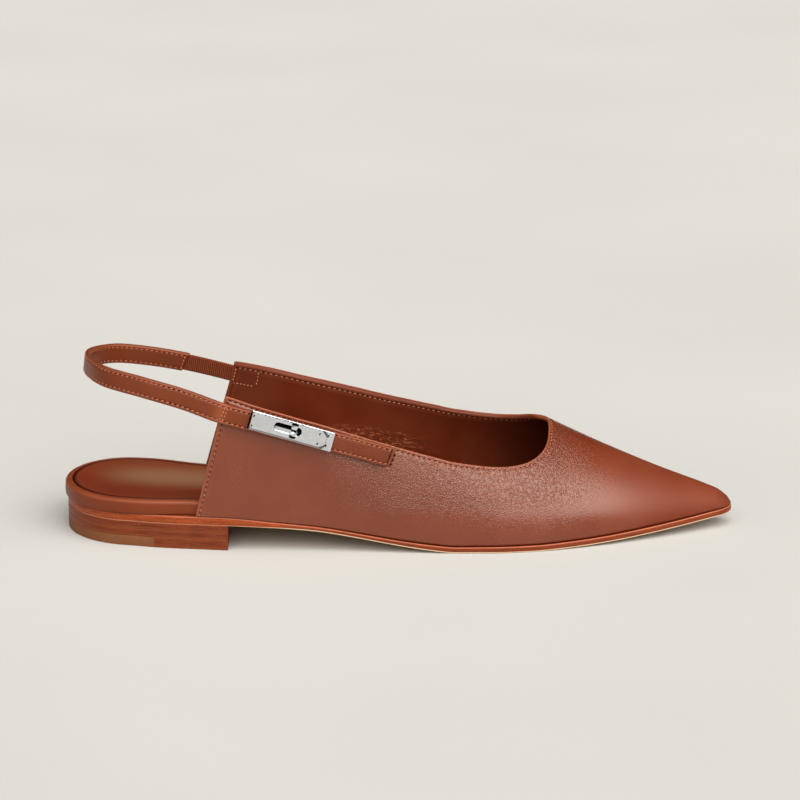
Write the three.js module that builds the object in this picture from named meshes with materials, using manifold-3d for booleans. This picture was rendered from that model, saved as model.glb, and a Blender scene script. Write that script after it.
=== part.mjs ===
// Women's pointed-toe slingback flat, a right shoe, in millimetres.
// +X runs from heel to toe, +Y to the inner (medial) side, +Z up from the floor.
// The origin is on the floor, under the heel. Lengths in the tables are shares of the named sizes.
import * as THREE from "three";
import Module from "manifold-3d";

const wasm = await Module();
wasm.setup();

// Driving sizes of the last and the sole
const shoeLength = 266.5; // back of the heel seat to the toe tip
const ballWidth = 75; // across the sole at the ball
const instepHeight = 55; // last above the sole, at the instep
const heelHeight = 10; // floor to the underside of the sole at the heel
const toeSpring = 5.6; // rise of the sole's underside at the toe tip
const soleThickness = 3.2; // outsole at the heel seat
const heelRounding = 25; // length over which the heel closes, seen from above
const toeRounding = 5; // length over which the toe closes, seen from above
const originFromBack = 30; // origin, measured from the back of the heel seat

// Upper
const upperWall = 1.8; // outer leather and lining together
const toeWall = 2.3; // wall at the toe tip, with its puff
const sideBulge = 1.2; // swell of the sides between the sole and the ridge

// Sole, heel and insole
const soleLedge = 0.9; // sole's edge beyond the foot of the upper, at the ball
const soleBevel = 0.7; // bevel along the sole's lower edge
const breastPlace = 66; // front face of the heel, from the back
const topPieceThickness = 4.1; // lowest layer of the heel
const liftCount = 2; // leather lifts above the top piece
const rubberPlace = 37; // rubber part of the top piece ends here, from the back
const footbedHeel = 5.5; // covered heel seat, above the sole
const footbedFore = 2.4; // insole board under the forefoot
const footbedRound = 1.5; // rounding of the covered edge
const footbedEnd = 7; // board stops this far short of the toe tip
const seatOverhang = 0.7; // covered edge beyond the last's outline, at the heel
const sockMargin = 3; // covered edge left showing round the sock
const sockDepth = 1.2; // recess that the sock lies in
const sockDish = 1.1; // hollow of the sock at the heel
const sockShort = 12; // sock stops this far short of the board's end
const dishFade = [0.2, 0.5]; // the hollow fades out between these places along the shoe
const coverFade = [0.1, 0.195]; // the board narrows between these, to pass inside the upper

// Straps
const strapWidth = 8.2;
const strapThickness = 2.2;
const elasticWidth = 7.2;
const elasticThickness = 0.9;
const elasticTuck = 5; // elastic held inside the end of the strap
const pocketPlay = 0.1; // play round the elastic in the strap and between the layers of the upper

// Turn lock
const lockPlace = 91.5; // middle of the plates, from the back of the heel seat
const lockLength = 33.6;
const lockHeight = 7.6;
const lockRaise = 0.5; // middle of the plates above the strap's middle
const lockTurn = THREE.MathUtils.degToRad(2.3); // plates lie steeper than the strap
const plateThickness = 0.9;
const frontPlateShort = 2.6; // base plate left showing at its front end
const frontPlateInset = 0.25; // and along its long edges
const cornerClip = 2; // clipped corners of the front plate
const slotLength = 10.9;
const slotHeight = 3.2;
const slotRaise = 0.45; // slot and knob above the middle of the plates
const slotPlace = 10; // start of the slot, from the back end of the plates
const knobLength = 7.2;
const knobWidth = 2.6;
const knobHeight = 1.6;
const knobWaistWidth = 1.87; // width of the knob at its middle
const knobEndWidth = 1.55; // and at its ends
const postRadius = 0.9;
const knobFromSlotEnd = 2.9; // post's centre, back from the front end of the slot
const rivetRadius = 0.45;
const rivetHeight = 0.3;
const rivetSpread = 4; // between the two rivets of a pair
const rivetInset = 1.7; // back pair, from the end of the plates
const rivetBeyond = 0.5; // last pair, in front of the front plate

// Gaps
const clearance = 0.3; // between curved pieces
const seatGap = 0.05; // between flat faces that are glued or riveted

// Sole outline seen from above: its middle and half its width, in ball widths
const PLAN = [
  { along: 0.0, centre: 0.077, half: 0.381 },
  { along: 0.09, centre: 0.043, half: 0.389 },
  { along: 0.146, centre: 0.007, half: 0.401 },
  { along: 0.21, centre: -0.043, half: 0.384 },
  { along: 0.247, centre: -0.071, half: 0.373 },
  { along: 0.337, centre: -0.115, half: 0.341 },
  { along: 0.393, centre: -0.117, half: 0.345 },
  { along: 0.449, centre: -0.096, half: 0.373 },
  { along: 0.524, centre: -0.04, half: 0.44 },
  { along: 0.599, centre: 0.003, half: 0.488 },
  { along: 0.655, centre: 0.02, half: 0.5 },
  { along: 0.712, centre: 0.029, half: 0.476 },
  { along: 0.768, centre: 0.032, half: 0.421 },
  { along: 0.824, centre: 0.033, half: 0.349 },
  { along: 0.88, centre: 0.035, half: 0.264 },
  { along: 0.936, centre: 0.039, half: 0.173 },
  { along: 0.981, centre: 0.041, half: 0.097 },
  { along: 1.0, centre: 0.043, half: 0.067 },
];

// Underside of the sole: share of the heel height, and share of the toe spring
const PROFILE = [
  { along: 0.0, heel: 1, spring: 0 },
  { along: 0.245, heel: 1, spring: 0 },
  { along: 0.3, heel: 0.96, spring: 0 },
  { along: 0.345, heel: 0.89, spring: 0 },
  { along: 0.386, heel: 0.79, spring: 0 },
  { along: 0.427, heel: 0.62, spring: 0 },
  { along: 0.471, heel: 0.41, spring: 0 },
  { along: 0.506, heel: 0.25, spring: 0 },
  { along: 0.547, heel: 0.09, spring: 0 },
  { along: 0.584, heel: 0, spring: 0 },
  { along: 0.697, heel: 0, spring: 0 },
  { along: 0.742, heel: 0, spring: 0.054 },
  { along: 0.801, heel: 0, spring: 0.18 },
  { along: 0.861, heel: 0, spring: 0.39 },
  { along: 0.921, heel: 0, spring: 0.64 },
  { along: 0.959, heel: 0, spring: 0.82 },
  { along: 1.0, heel: 0, spring: 1 },
];

// Thickness of the sole, of the footbed between its fore and heel sizes, and the sole's ledge
const LAYERS = [
  { along: 0.0, sole: 1, footbed: 1, ledge: -0.3 },
  { along: 0.24, sole: 1, footbed: 1, ledge: -0.3 },
  { along: 0.32, sole: 0.69, footbed: 0.72, ledge: 0.1 },
  { along: 0.45, sole: 0.62, footbed: 0.16, ledge: 0.7 },
  { along: 0.56, sole: 0.75, footbed: 0, ledge: 1 },
  { along: 0.75, sole: 0.81, footbed: 0, ledge: 1 },
  { along: 0.95, sole: 0.84, footbed: 0, ledge: 0.7 },
  { along: 1.0, sole: 0.84, footbed: 0, ledge: 0 },
];

// Ridge of the last: sideways place in ball widths, height above the sole in instep heights,
// and the fullness of the section on either side of it, 2 being an ellipse
const RIDGE = [
  { along: 0.0, across: 0.053, rise: 1.58, outer: 3.0, inner: 3.0 },
  { along: 0.24, across: -0.053, rise: 1.545, outer: 3.2, inner: 3.0 },
  { along: 0.36, across: -0.04, rise: 1.385, outer: 3.0, inner: 2.8 },
  { along: 0.449, across: -0.013, rise: 1.27, outer: 2.7, inner: 2.6 },
  { along: 0.532, across: 0.04, rise: 1.142, outer: 2.3, inner: 2.3 },
  { along: 0.599, across: 0.08, rise: 1.006, outer: 2.0, inner: 2.1 },
  { along: 0.655, across: 0.1, rise: 0.874, outer: 1.85, inner: 2.0 },
  { along: 0.723, across: 0.1, rise: 0.718, outer: 1.85, inner: 1.9 },
  { along: 0.768, across: 0.091, rise: 0.609, outer: 1.88, inner: 1.9 },
  { along: 0.801, across: 0.08, rise: 0.53, outer: 1.9, inner: 1.9 },
  { along: 0.891, across: 0.06, rise: 0.315, outer: 2.0, inner: 2.0 },
  { along: 0.959, across: 0.048, rise: 0.163, outer: 2.1, inner: 2.1 },
  { along: 0.981, across: 0.044, rise: 0.109, outer: 2.2, inner: 2.2 },
  { along: 0.9925, across: 0.043, rise: 0.064, outer: 2.2, inner: 2.2 },
  { along: 1.0, across: 0.043, rise: 0.012, outer: 2.2, inner: 2.2 },
];

// Topline: how far up each section it lies, 0 at the sole and 1 on the ridge
const OUTER_TOPLINE = [
  { along: 0.2465, arc: 0.281 },
  { along: 0.283, arc: 0.274 },
  { along: 0.323, arc: 0.275 },
  { along: 0.364, arc: 0.279 },
  { along: 0.405, arc: 0.287 },
  { along: 0.446, arc: 0.301 },
  { along: 0.487, arc: 0.322 },
  { along: 0.53, arc: 0.347 },
  { along: 0.558, arc: 0.365 },
  { along: 0.586, arc: 0.382 },
  { along: 0.614, arc: 0.402 },
  { along: 0.642, arc: 0.428 },
  { along: 0.664, arc: 0.454 },
  { along: 0.685, arc: 0.494 },
  { along: 0.7, arc: 0.545 },
  { along: 0.712, arc: 0.615 },
  { along: 0.719, arc: 0.7 },
  { along: 0.722, arc: 0.8 },
  { along: 0.723, arc: 1 },
];
const INNER_TOPLINE = [
  { along: 0.251, arc: 0.296 },
  { along: 0.275, arc: 0.307 },
  { along: 0.317, arc: 0.33 },
  { along: 0.36, arc: 0.345 },
  { along: 0.402, arc: 0.358 },
  { along: 0.444, arc: 0.373 },
  { along: 0.501, arc: 0.396 },
  { along: 0.531, arc: 0.412 },
  { along: 0.56, arc: 0.431 },
  { along: 0.59, arc: 0.45 },
  { along: 0.619, arc: 0.475 },
  { along: 0.648, arc: 0.518 },
  { along: 0.677, arc: 0.598 },
  { along: 0.697, arc: 0.7 },
  { along: 0.711, arc: 0.8 },
  { along: 0.719, arc: 0.89 },
  { along: 0.723, arc: 1 },
];

const backEdge = 0.2; // foot of the upper's back edges, along the shoe
const vampLead = 0.05; // feet of the throat's columns, in front of the throat, in shoe lengths

// Strap's middle line. On the upper it runs this far below the topline, in strap widths.
const STRAP_ON_OUTER_SIDE = [
  { along: 0.486, drop: 0.58 },
  { along: 0.43, drop: 0.61 },
  { along: 0.36, drop: 0.69 },
  { along: 0.3, drop: 0.78 },
  { along: 0.243, drop: 0.85 },
];
// Round the heel it stands free: sideways in ball widths, height above the heel seat in instep heights
const STRAP_ROUND_HEEL = [
  { along: 0.187, across: -0.431, rise: 0.873 },
  { along: 0.124, across: -0.387, rise: 0.949 },
  { along: 0.069, across: -0.287, rise: 0.989 },
  { along: 0.044, across: -0.133, rise: 1.0 },
  { along: 0.035, across: 0.04, rise: 0.991 },
  { along: 0.045, across: 0.2, rise: 0.967 },
  { along: 0.075, across: 0.315, rise: 0.945 },
  { along: 0.124, across: 0.355, rise: 0.908 },
  { along: 0.18, across: 0.341, rise: 0.865 },
];
const ELASTIC_ON_INNER_SIDE = [
  { along: 0.252, drop: 0.655 },
  { along: 0.29, drop: 0.815 },
];
const strapEnd = 0.18; // where the strap stops and the elastic shows, along the inner side

const OUTER = -1;
const INNER = 1;

// Smooth value through a table's column. Slopes are level where a neighbouring stretch is level.
function through(rows, key, value, by = "along") {
  const last = rows.length - 1;
  const chord = (i) => (rows[i + 1][key] - rows[i][key]) / (rows[i + 1][by] - rows[i][by]);
  const slope = (i) => {
    if (i === 0) return chord(0);
    if (i === last) return chord(last - 1);
    const before = chord(i - 1);
    const after = chord(i);
    if (before === 0 || after === 0) return 0;
    const a = rows[i][by] - rows[i - 1][by];
    const b = rows[i + 1][by] - rows[i][by];
    return (before * b + after * a) / (a + b);
  };
  const v = THREE.MathUtils.clamp(value, rows[0][by], rows[last][by]);
  let i = 0;
  while (i < last - 1 && v > rows[i + 1][by]) i += 1;
  const h = rows[i + 1][by] - rows[i][by];
  const t = (v - rows[i][by]) / h;
  return (
    (2 * t ** 3 - 3 * t ** 2 + 1) * rows[i][key] +
    (t ** 3 - 2 * t ** 2 + t) * h * slope(i) +
    (3 * t ** 2 - 2 * t ** 3) * rows[i + 1][key] +
    (t ** 3 - t ** 2) * h * slope(i + 1)
  );
}

const share = (x) => x / shoeLength;
const centreAt = (x) => ballWidth * through(PLAN, "centre", share(x));
const fullHalfAt = (x) => ballWidth * through(PLAN, "half", share(x));

function closing(x, tip) {
  const back = THREE.MathUtils.clamp(1 - x / heelRounding, 0, 1);
  const front = THREE.MathUtils.clamp(1 - (tip - x) / toeRounding, 0, 1);
  return Math.sqrt(1 - back ** 2) * Math.sqrt(1 - front ** 2);
}

const halfAt = (x) => fullHalfAt(x) * closing(x, shoeLength);
const undersideAt = (x) =>
  heelHeight * through(PROFILE, "heel", share(x)) + toeSpring * through(PROFILE, "spring", share(x));
const soleTopAt = (x) => undersideAt(x) + soleThickness * through(LAYERS, "sole", share(x));
const ridgeRiseAt = (x) => instepHeight * through(RIDGE, "rise", share(x));

// Share of a section's height that is reached at an arc
function climb(x, side, arc) {
  const fullness = through(RIDGE, side === OUTER ? "outer" : "inner", share(x));
  return Math.sin((arc * Math.PI) / 2) ** (2 / fullness);
}

// Point of the last: arc runs from the sole (0) to the ridge (1), skin is the depth below the outer surface.
// Each half section is a superellipse, swollen a little between its ends.
function lastPoint(x, side, arc, skin = 0) {
  const depth = skin / upperWall;
  const place = x - (depth * toeWall * Math.max(0, x - breastPlace)) / (shoeLength - breastPlace);
  const tip = shoeLength - depth * toeWall;
  const half = Math.max(0, fullHalfAt(place) - skin) * closing(place, tip);
  const fullness = through(RIDGE, side === OUTER ? "outer" : "inner", share(place));
  const foot = soleTopAt(place) + clearance;
  const rise = ridgeRiseAt(place) - clearance - skin;
  const centre = centreAt(place);
  const lean = ballWidth * through(RIDGE, "across", share(place)) - centre;
  const ridge = centre + lean * Math.min(1, half / toeRounding);
  const reach = Math.abs(centre + side * half - ridge);
  const c = Math.max(0, Math.cos((arc * Math.PI) / 2)) ** (2 / fullness);
  const s = Math.sin((arc * Math.PI) / 2) ** (2 / fullness);
  const swell = sideBulge * Math.min(1, half / heelRounding) * 4 * s * (1 - s) * c;
  return new THREE.Vector3(place, ridge + side * (reach * c + swell), foot + rise * s);
}

const sideTopline = (side) => (side === OUTER ? OUTER_TOPLINE : INNER_TOPLINE);
const toplineArcAt = (x, side) => through(sideTopline(side), "arc", share(x));

// Arc at which a section reaches a height
function arcAtHeight(x, side, height) {
  const fullness = through(RIDGE, side === OUTER ? "outer" : "inner", share(x));
  const s = (height - soleTopAt(x) - clearance) / (ridgeRiseAt(x) - clearance);
  return Math.asin(THREE.MathUtils.clamp(s, 0, 1) ** (fullness / 2)) / (Math.PI / 2);
}

// Outward normal of the last's side
function lastNormal(x, side, arc) {
  const step = 1e-3;
  const p = lastPoint(x, side, arc);
  const forward = lastPoint(x + 1, side, arc).sub(p);
  const up = lastPoint(x, side, arc + step).sub(p);
  return up.cross(forward).multiplyScalar(side).normalize();
}

// Closed mesh from vertices and polygon faces: equal vertices merge and collapsed triangles go
function closedGeometry(faces) {
  const places = new Map();
  const position = [];
  const index = [];
  const vertex = (p) => {
    const key = [p.x, p.y, p.z].map((v) => Math.round(v * 1e4)).join();
    if (!places.has(key)) {
      places.set(key, position.length / 3);
      position.push(p.x, p.y, p.z);
    }
    return places.get(key);
  };
  for (const [a, b, c] of faces) {
    const [i, j, k] = [vertex(a), vertex(b), vertex(c)];
    if (i !== j && j !== k && k !== i) index.push(i, j, k);
  }
  const geometry = new THREE.BufferGeometry();
  geometry.setAttribute("position", new THREE.Float32BufferAttribute(position, 3));
  geometry.setIndex(index);
  return geometry;
}

const quad = (a, b, c, d) => [
  [a, b, c],
  [a, c, d],
];

// Solid through closed sections with equal numbers of points, capped at both ends
function loft(sections) {
  const faces = [];
  for (let i = 0; i + 1 < sections.length; i += 1) {
    const [near, far] = [sections[i], sections[i + 1]];
    near.forEach((p, j) => {
      const k = (j + 1) % near.length;
      faces.push(...quad(p, near[k], far[k], far[j]));
    });
  }
  faces.push(...cap(sections[0]).map(([a, b, c]) => [a, c, b]));
  faces.push(...cap(sections.at(-1)));
  return closedGeometry(faces);
}

// Fan that closes a section from its middle; a section that has shrunk to a line needs none
function cap(section) {
  const middle = section.reduce((sum, p) => sum.add(p), new THREE.Vector3()).divideScalar(section.length);
  const area = new THREE.Vector3();
  const fan = section.map((p, j) => [middle, p, section[(j + 1) % section.length]]);
  for (const [a, b, c] of fan) area.add(b.clone().sub(a).cross(c.clone().sub(a)));
  const least = 1e-6;
  return area.length() > least ? fan : [];
}

function solid(geometry) {
  const mesh = new wasm.Mesh({
    numProp: 3,
    vertProperties: geometry.getAttribute("position").array,
    triVerts: new Uint32Array(geometry.index.array),
  });
  const made = new wasm.Manifold(mesh);
  if (made.volume() > 0) return made;
  const turned = new Uint32Array(geometry.index.array);
  for (let i = 0; i < turned.length; i += 3) [turned[i + 1], turned[i + 2]] = [turned[i + 2], turned[i + 1]];
  return new wasm.Manifold(new wasm.Mesh({ numProp: 3, vertProperties: mesh.vertProperties, triVerts: turned }));
}

function geometryOf(made) {
  const mesh = made.getMesh();
  const geometry = new THREE.BufferGeometry();
  geometry.setAttribute("position", new THREE.BufferAttribute(mesh.vertProperties, 3));
  geometry.setIndex(new THREE.BufferAttribute(mesh.triVerts, 1));
  return geometry;
}

const faceOut = (geometry) => geometryOf(solid(geometry));

// Stations along the shoe, close together where the heel and the toe close
function stations(from, to, count) {
  const crowding = 0.77; // 0 spaces them evenly, 1 makes them meet at the ends
  return Array.from({ length: count + 1 }, (_, i) => {
    const t = i / count;
    return from + (to - from) * (t - (crowding * Math.sin(2 * Math.PI * t)) / (2 * Math.PI));
  });
}

// Outline of the sole at a station, moved outwards by a margin across its own edge
function edgePoint(x, side, margin) {
  const step = 0.05;
  const a = THREE.MathUtils.clamp(x - step, 0, shoeLength);
  const b = THREE.MathUtils.clamp(x + step, 0, shoeLength);
  const edge = (v) => new THREE.Vector2(v, centreAt(v) + side * halfAt(v));
  if (x <= 0) return new THREE.Vector2(-margin, centreAt(0));
  if (x >= shoeLength) return new THREE.Vector2(shoeLength + margin, centreAt(shoeLength));
  const along = edge(b).sub(edge(a)).normalize();
  const out = new THREE.Vector2(-along.y, along.x).multiplyScalar(side);
  return edge(x).addScaledVector(out, margin);
}

// Point of the moved outline that lies at x, found by moving the place until its point does
function edgeAcross(x, side, margin) {
  const rounds = 8;
  let place = x;
  for (let i = 0; i < rounds; i += 1) place += x - edgePoint(place, side, margin).x;
  return new THREE.Vector2(x, edgePoint(place, side, margin).y);
}

// Slab over the sole's outline, cut square where it starts or stops short of the shoe's ends.
// Each ring has a margin beyond the outline and a height, both functions of the place, and the rings
// run from the lower face to the upper. A face hollows by its depth across its width.
function slab(places, rings, hollow = {}) {
  const acrossFace = [0.1, 0.28, 0.5, 0.72, 0.9]; // shares of the face's width
  const isCut = (x) => (x === places[0] || x === places.at(-1)) && x > 0 && x < shoeLength;
  const sections = places.map((x) => {
    const ringSide = (side) =>
      rings.map(({ margin, height }) => {
        const p = isCut(x) ? edgeAcross(x, side, margin(x)) : edgePoint(x, side, margin(x));
        return new THREE.Vector3(p.x, p.y, height(x));
      });
    const outer = ringSide(OUTER);
    const inner = ringSide(INNER);
    const crossing = (from, to, depth) =>
      depth
        ? acrossFace.map((part) => {
            const p = from.clone().lerp(to, part);
            p.z -= depth(x) * 4 * part * (1 - part);
            return p;
          })
        : [];
    return [
      ...outer,
      ...crossing(outer.at(-1), inner.at(-1), hollow.over),
      ...[...inner].reverse(),
      ...crossing(inner[0], outer[0], hollow.under),
    ];
  });
  return faceOut(loft(sections));
}

const ledgeAt = (x) => soleLedge * through(LAYERS, "ledge", share(x));

// One thin leather outsole, with a bevelled lower edge
function outsoleGeometry() {
  const bevelled = (x) => ledgeAt(x) - soleBevel;
  return slab(stations(0, shoeLength, 60), [
    { margin: bevelled, height: undersideAt },
    { margin: ledgeAt, height: (x) => undersideAt(x) + soleBevel },
    { margin: ledgeAt, height: soleTopAt },
  ]);
}

// One layer of the heel, between two heights and from one place to another
function heelLayer(from, to, low, high) {
  return slab(stations(from, to, 20), [
    { margin: ledgeAt, height: () => low },
    { margin: ledgeAt, height: () => high },
  ]);
}

const footbedMargin = (x) => {
  const tucked = -upperWall - clearance;
  return THREE.MathUtils.lerp(seatOverhang, tucked, THREE.MathUtils.smoothstep(share(x), ...coverFade));
};
const footbedThicknessAt = (x) =>
  footbedFore + (footbedHeel - footbedFore) * through(LAYERS, "footbed", share(x));
const footbedTopAt = (x) => soleTopAt(x) + clearance + footbedThicknessAt(x);
const footbedReach = shoeLength - footbedEnd;
const sockReach = footbedReach - sockShort;
const dishAt = (x) => sockDish * closing(x, footbedReach) * (1 - THREE.MathUtils.smoothstep(share(x), ...dishFade));

// Insole board with its covered edge, and a recess for the sock
function footbedGeometry() {
  const fade = (x) => THREE.MathUtils.clamp((sockReach + 2 * sockMargin - x) / sockMargin, 0, 1);
  const inside = (extra) => (x) => footbedMargin(x) - extra;
  const below = (depth) => (x) => footbedTopAt(x) - depth;
  const midRound = footbedRound * (1 - Math.SQRT1_2);
  return slab(
    stations(0, footbedReach, 56),
    [
      { margin: footbedMargin, height: (x) => soleTopAt(x) + clearance },
      { margin: footbedMargin, height: below(footbedRound) },
      { margin: inside(midRound), height: below(midRound) },
      { margin: inside(footbedRound), height: footbedTopAt },
      { margin: inside(sockMargin), height: footbedTopAt },
      { margin: inside(sockMargin), height: (x) => footbedTopAt(x) - sockDepth * fade(x) },
    ],
    { over: dishAt },
  );
}

// Sock that lies in the recess, dished under the heel as the recess is
function sockGeometry() {
  const margin = (x) => footbedMargin(x) - sockMargin - clearance;
  return slab(
    stations(0, sockReach, 44),
    [
      { margin, height: (x) => footbedTopAt(x) - sockDepth + clearance },
      { margin, height: footbedTopAt },
    ],
    { over: dishAt, under: dishAt },
  );
}

// Upper: a grid from the sole's edge to the topline, and in front of the throat to the ridge,
// laid on the outer and on the inner skin of the last and closed along its edges
function upperGeometry() {
  const alongTopline = 28;
  const alongVamp = 20;
  const rows = 10;
  const throat = OUTER_TOPLINE.at(-1).along * shoeLength;
  const lead = vampLead * shoeLength;
  const toeEase = 1.7; // columns crowd towards the toe tip
  const grid = (side, skin) => {
    const topline = spread(sideTopline(side), alongTopline);
    const lag = (backEdge - topline[0].along) * shoeLength;
    const columns = topline.map(({ along, arc }, i) => {
      const top = along * shoeLength;
      const forward = i / alongTopline;
      return { foot: top + THREE.MathUtils.lerp(lag, lead, forward), top, arc, forward };
    });
    for (let i = 1; i <= alongVamp; i += 1) {
      const t = 1 - (1 - i / alongVamp) ** toeEase;
      const foot = THREE.MathUtils.lerp(throat + lead, shoeLength, t);
      columns.push({ foot, top: THREE.MathUtils.lerp(throat, shoeLength, t), arc: 1, forward: 1 - t });
    }
    return columns.map(({ foot, top, arc, forward }) =>
      Array.from({ length: rows + 1 }, (_, j) => {
        const straight = climb(top, side, (arc * j) / rows) / climb(top, side, arc);
        const t = THREE.MathUtils.lerp(straight, (j / rows) ** 2, forward);
        return lastPoint(THREE.MathUtils.lerp(foot, top, t), side, (arc * j) / rows, skin);
      }),
    );
  };
  const faces = [];
  for (const side of [OUTER, INNER]) {
    const skinOut = grid(side, 0);
    const skinIn = grid(side, upperWall);
    const count = skinOut.length - 1;
    const add = (a, b, c, d) => faces.push(...(side === OUTER ? quad(a, b, c, d) : quad(d, c, b, a)));
    for (let i = 0; i < count; i += 1) {
      for (let j = 0; j < rows; j += 1) {
        add(skinOut[i][j], skinOut[i + 1][j], skinOut[i + 1][j + 1], skinOut[i][j + 1]);
        add(skinIn[i][j + 1], skinIn[i + 1][j + 1], skinIn[i + 1][j], skinIn[i][j]);
      }
      add(skinIn[i][0], skinIn[i + 1][0], skinOut[i + 1][0], skinOut[i][0]);
      if (i < alongTopline) add(skinOut[i][rows], skinOut[i + 1][rows], skinIn[i + 1][rows], skinIn[i][rows]);
    }
    for (let j = 0; j < rows; j += 1) add(skinIn[0][j], skinOut[0][j], skinOut[0][j + 1], skinIn[0][j + 1]);
  }
  return geometryOf(solid(closedGeometry(faces)).subtract(pocket(strapStop, 1, elasticSteps)));
}

// Evenly spread points on the smooth curve through a topline's rows
function spread(rows, count) {
  const arcWeight = 1.6; // one unit of arc against one shoe length
  let run = 0;
  const marked = rows.map((row, i) => {
    if (i > 0) run += Math.hypot(row.along - rows[i - 1].along, (row.arc - rows[i - 1].arc) / arcWeight);
    return { ...row, run };
  });
  return Array.from({ length: count + 1 }, (_, i) => {
    const at = (run * i) / count;
    return { along: through(marked, "along", at, "run"), arc: through(marked, "arc", at, "run") };
  });
}

// Middle line of the sling: front end of the strap, round the heel, to the sewn end of the elastic
function slingLine() {
  const onUpper = (rows, side, skin) =>
    rows.map(({ along, drop }) => {
      const x = along * shoeLength;
      const height = lastPoint(x, side, toplineArcAt(x, side)).z - drop * strapWidth;
      const arc = arcAtHeight(x, side, height);
      return lastPoint(x, side, arc).addScaledVector(lastNormal(x, side, arc), -skin);
    });
  const seat = heelHeight + soleThickness;
  return new THREE.CatmullRomCurve3(
    [
      ...onUpper(STRAP_ON_OUTER_SIDE, OUTER, -clearance - strapThickness / 2),
      ...STRAP_ROUND_HEEL.map(
        ({ along, across, rise }) =>
          new THREE.Vector3(along * shoeLength, across * ballWidth, seat + rise * instepHeight),
      ),
      ...onUpper(ELASTIC_ON_INNER_SIDE, INNER, upperWall / 2),
    ],
    false,
    "centripetal",
  );
}

const sling = slingLine();
const slingSteps = 400;
const slingPoints = sling.getSpacedPoints(slingSteps);
const backStep = slingPoints.reduce((best, p, i) => (p.x < slingPoints[best].x ? i : best), 0);
const strapStop = slingPoints.findIndex((p, i) => i > backStep && p.x > strapEnd * shoeLength) / slingSteps;
const elasticStart = strapStop - elasticTuck / sling.getLength();

// Frame of the sling at a share of its length: outwards leans up as the sides of the last do
const sideLean = THREE.MathUtils.degToRad(7);
function slingFrame(t) {
  const at = sling.getPointAt(t);
  const along = sling.getTangentAt(t);
  const level = new THREE.Vector3(along.y, -along.x, 0).normalize();
  const middle = new THREE.Vector3(heelRounding, centreAt(heelRounding), at.z);
  if (level.dot(at.clone().sub(middle)) < 0) level.negate();
  const up = new THREE.Vector3().crossVectors(along, level);
  if (up.z < 0) up.negate();
  const out = level.multiplyScalar(Math.cos(sideLean)).addScaledVector(up, Math.sin(sideLean)).normalize();
  const rise = new THREE.Vector3().crossVectors(along, out);
  if (rise.z < 0) rise.negate();
  return { at, along, out, rise };
}

// Flat band with eased corners along the sling, between two shares of its length
function band(from, to, width, thickness, steps) {
  const w = width / 2;
  const t = thickness / 2;
  const ease = thickness / 5;
  const corners = [
    [-w, -t + ease],
    [-w + ease, -t],
    [w - ease, -t],
    [w, -t + ease],
    [w, t - ease],
    [w - ease, t],
    [-w + ease, t],
    [-w, t - ease],
  ];
  const sections = [];
  for (let i = 0; i <= steps; i += 1) {
    const { at, out, rise } = slingFrame(THREE.MathUtils.lerp(from, to, i / steps));
    sections.push(corners.map(([r, o]) => at.clone().addScaledVector(rise, r).addScaledVector(out, o)));
  }
  return loft(sections);
}

// Room for the elastic, in the end of the strap and between the layers of the upper
function pocket(from, to, steps) {
  return solid(band(from, to, elasticWidth + 2 * pocketPlay, elasticThickness + 2 * pocketPlay, steps));
}

const strapSteps = 76;
const elasticSteps = 24;
const playAlong = pocketPlay / sling.getLength();

function strapGeometry() {
  const strap = solid(band(0, strapStop, strapWidth, strapThickness, strapSteps));
  return geometryOf(strap.subtract(pocket(elasticStart - playAlong, strapStop + playAlong, elasticSteps / 3)));
}

const elasticGeometry = () =>
  faceOut(band(elasticStart, 1 - playAlong, elasticWidth, elasticThickness, elasticSteps));

// Frame of the lock: on the strap's outer face, lengthwise from back to front
function lockFrame() {
  const t = slingPoints.findIndex((p) => p.x < lockPlace) / slingSteps;
  const { at, along, out, rise } = slingFrame(t);
  const forward = along.clone().negate();
  const upwards = rise.clone().normalize();
  const normal = new THREE.Vector3().crossVectors(forward, upwards).normalize();
  const span = lockLength / 2 / sling.getLength();
  const face = [-1, -0.5, 0, 0.5, 1].map((s) => {
    const f = slingFrame(t + s * span);
    return f.at.addScaledVector(f.out, strapThickness / 2).sub(at).dot(normal);
  });
  const seat = at.clone().addScaledVector(normal, Math.max(...face) + clearance).addScaledVector(upwards, lockRaise);
  const frame = new THREE.Group();
  frame.matrix.makeBasis(forward, upwards, normal).setPosition(seat);
  frame.matrix.decompose(frame.position, frame.quaternion, frame.scale);
  frame.rotateZ(-lockTurn);
  return frame;
}

function plateShape(length, height, clip) {
  const [back, front] = [-lockLength / 2, length - lockLength / 2];
  const h = height / 2;
  return new THREE.Shape([
    new THREE.Vector2(back, -h),
    new THREE.Vector2(front - clip, -h),
    new THREE.Vector2(front, -h + clip),
    new THREE.Vector2(front, h - clip),
    new THREE.Vector2(front - clip, h),
    new THREE.Vector2(back, h),
  ]);
}

function slotPath() {
  const r = slotHeight / 2;
  const back = -lockLength / 2 + slotPlace + r;
  const front = back + slotLength - slotHeight;
  const path = new THREE.Path();
  path.absarc(front, slotRaise, r, -Math.PI / 2, Math.PI / 2, false);
  path.absarc(back, slotRaise, r, Math.PI / 2, (3 * Math.PI) / 2, false);
  path.closePath();
  return path;
}

const knobPlace = -lockLength / 2 + slotPlace + slotLength - knobFromSlotEnd;

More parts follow.
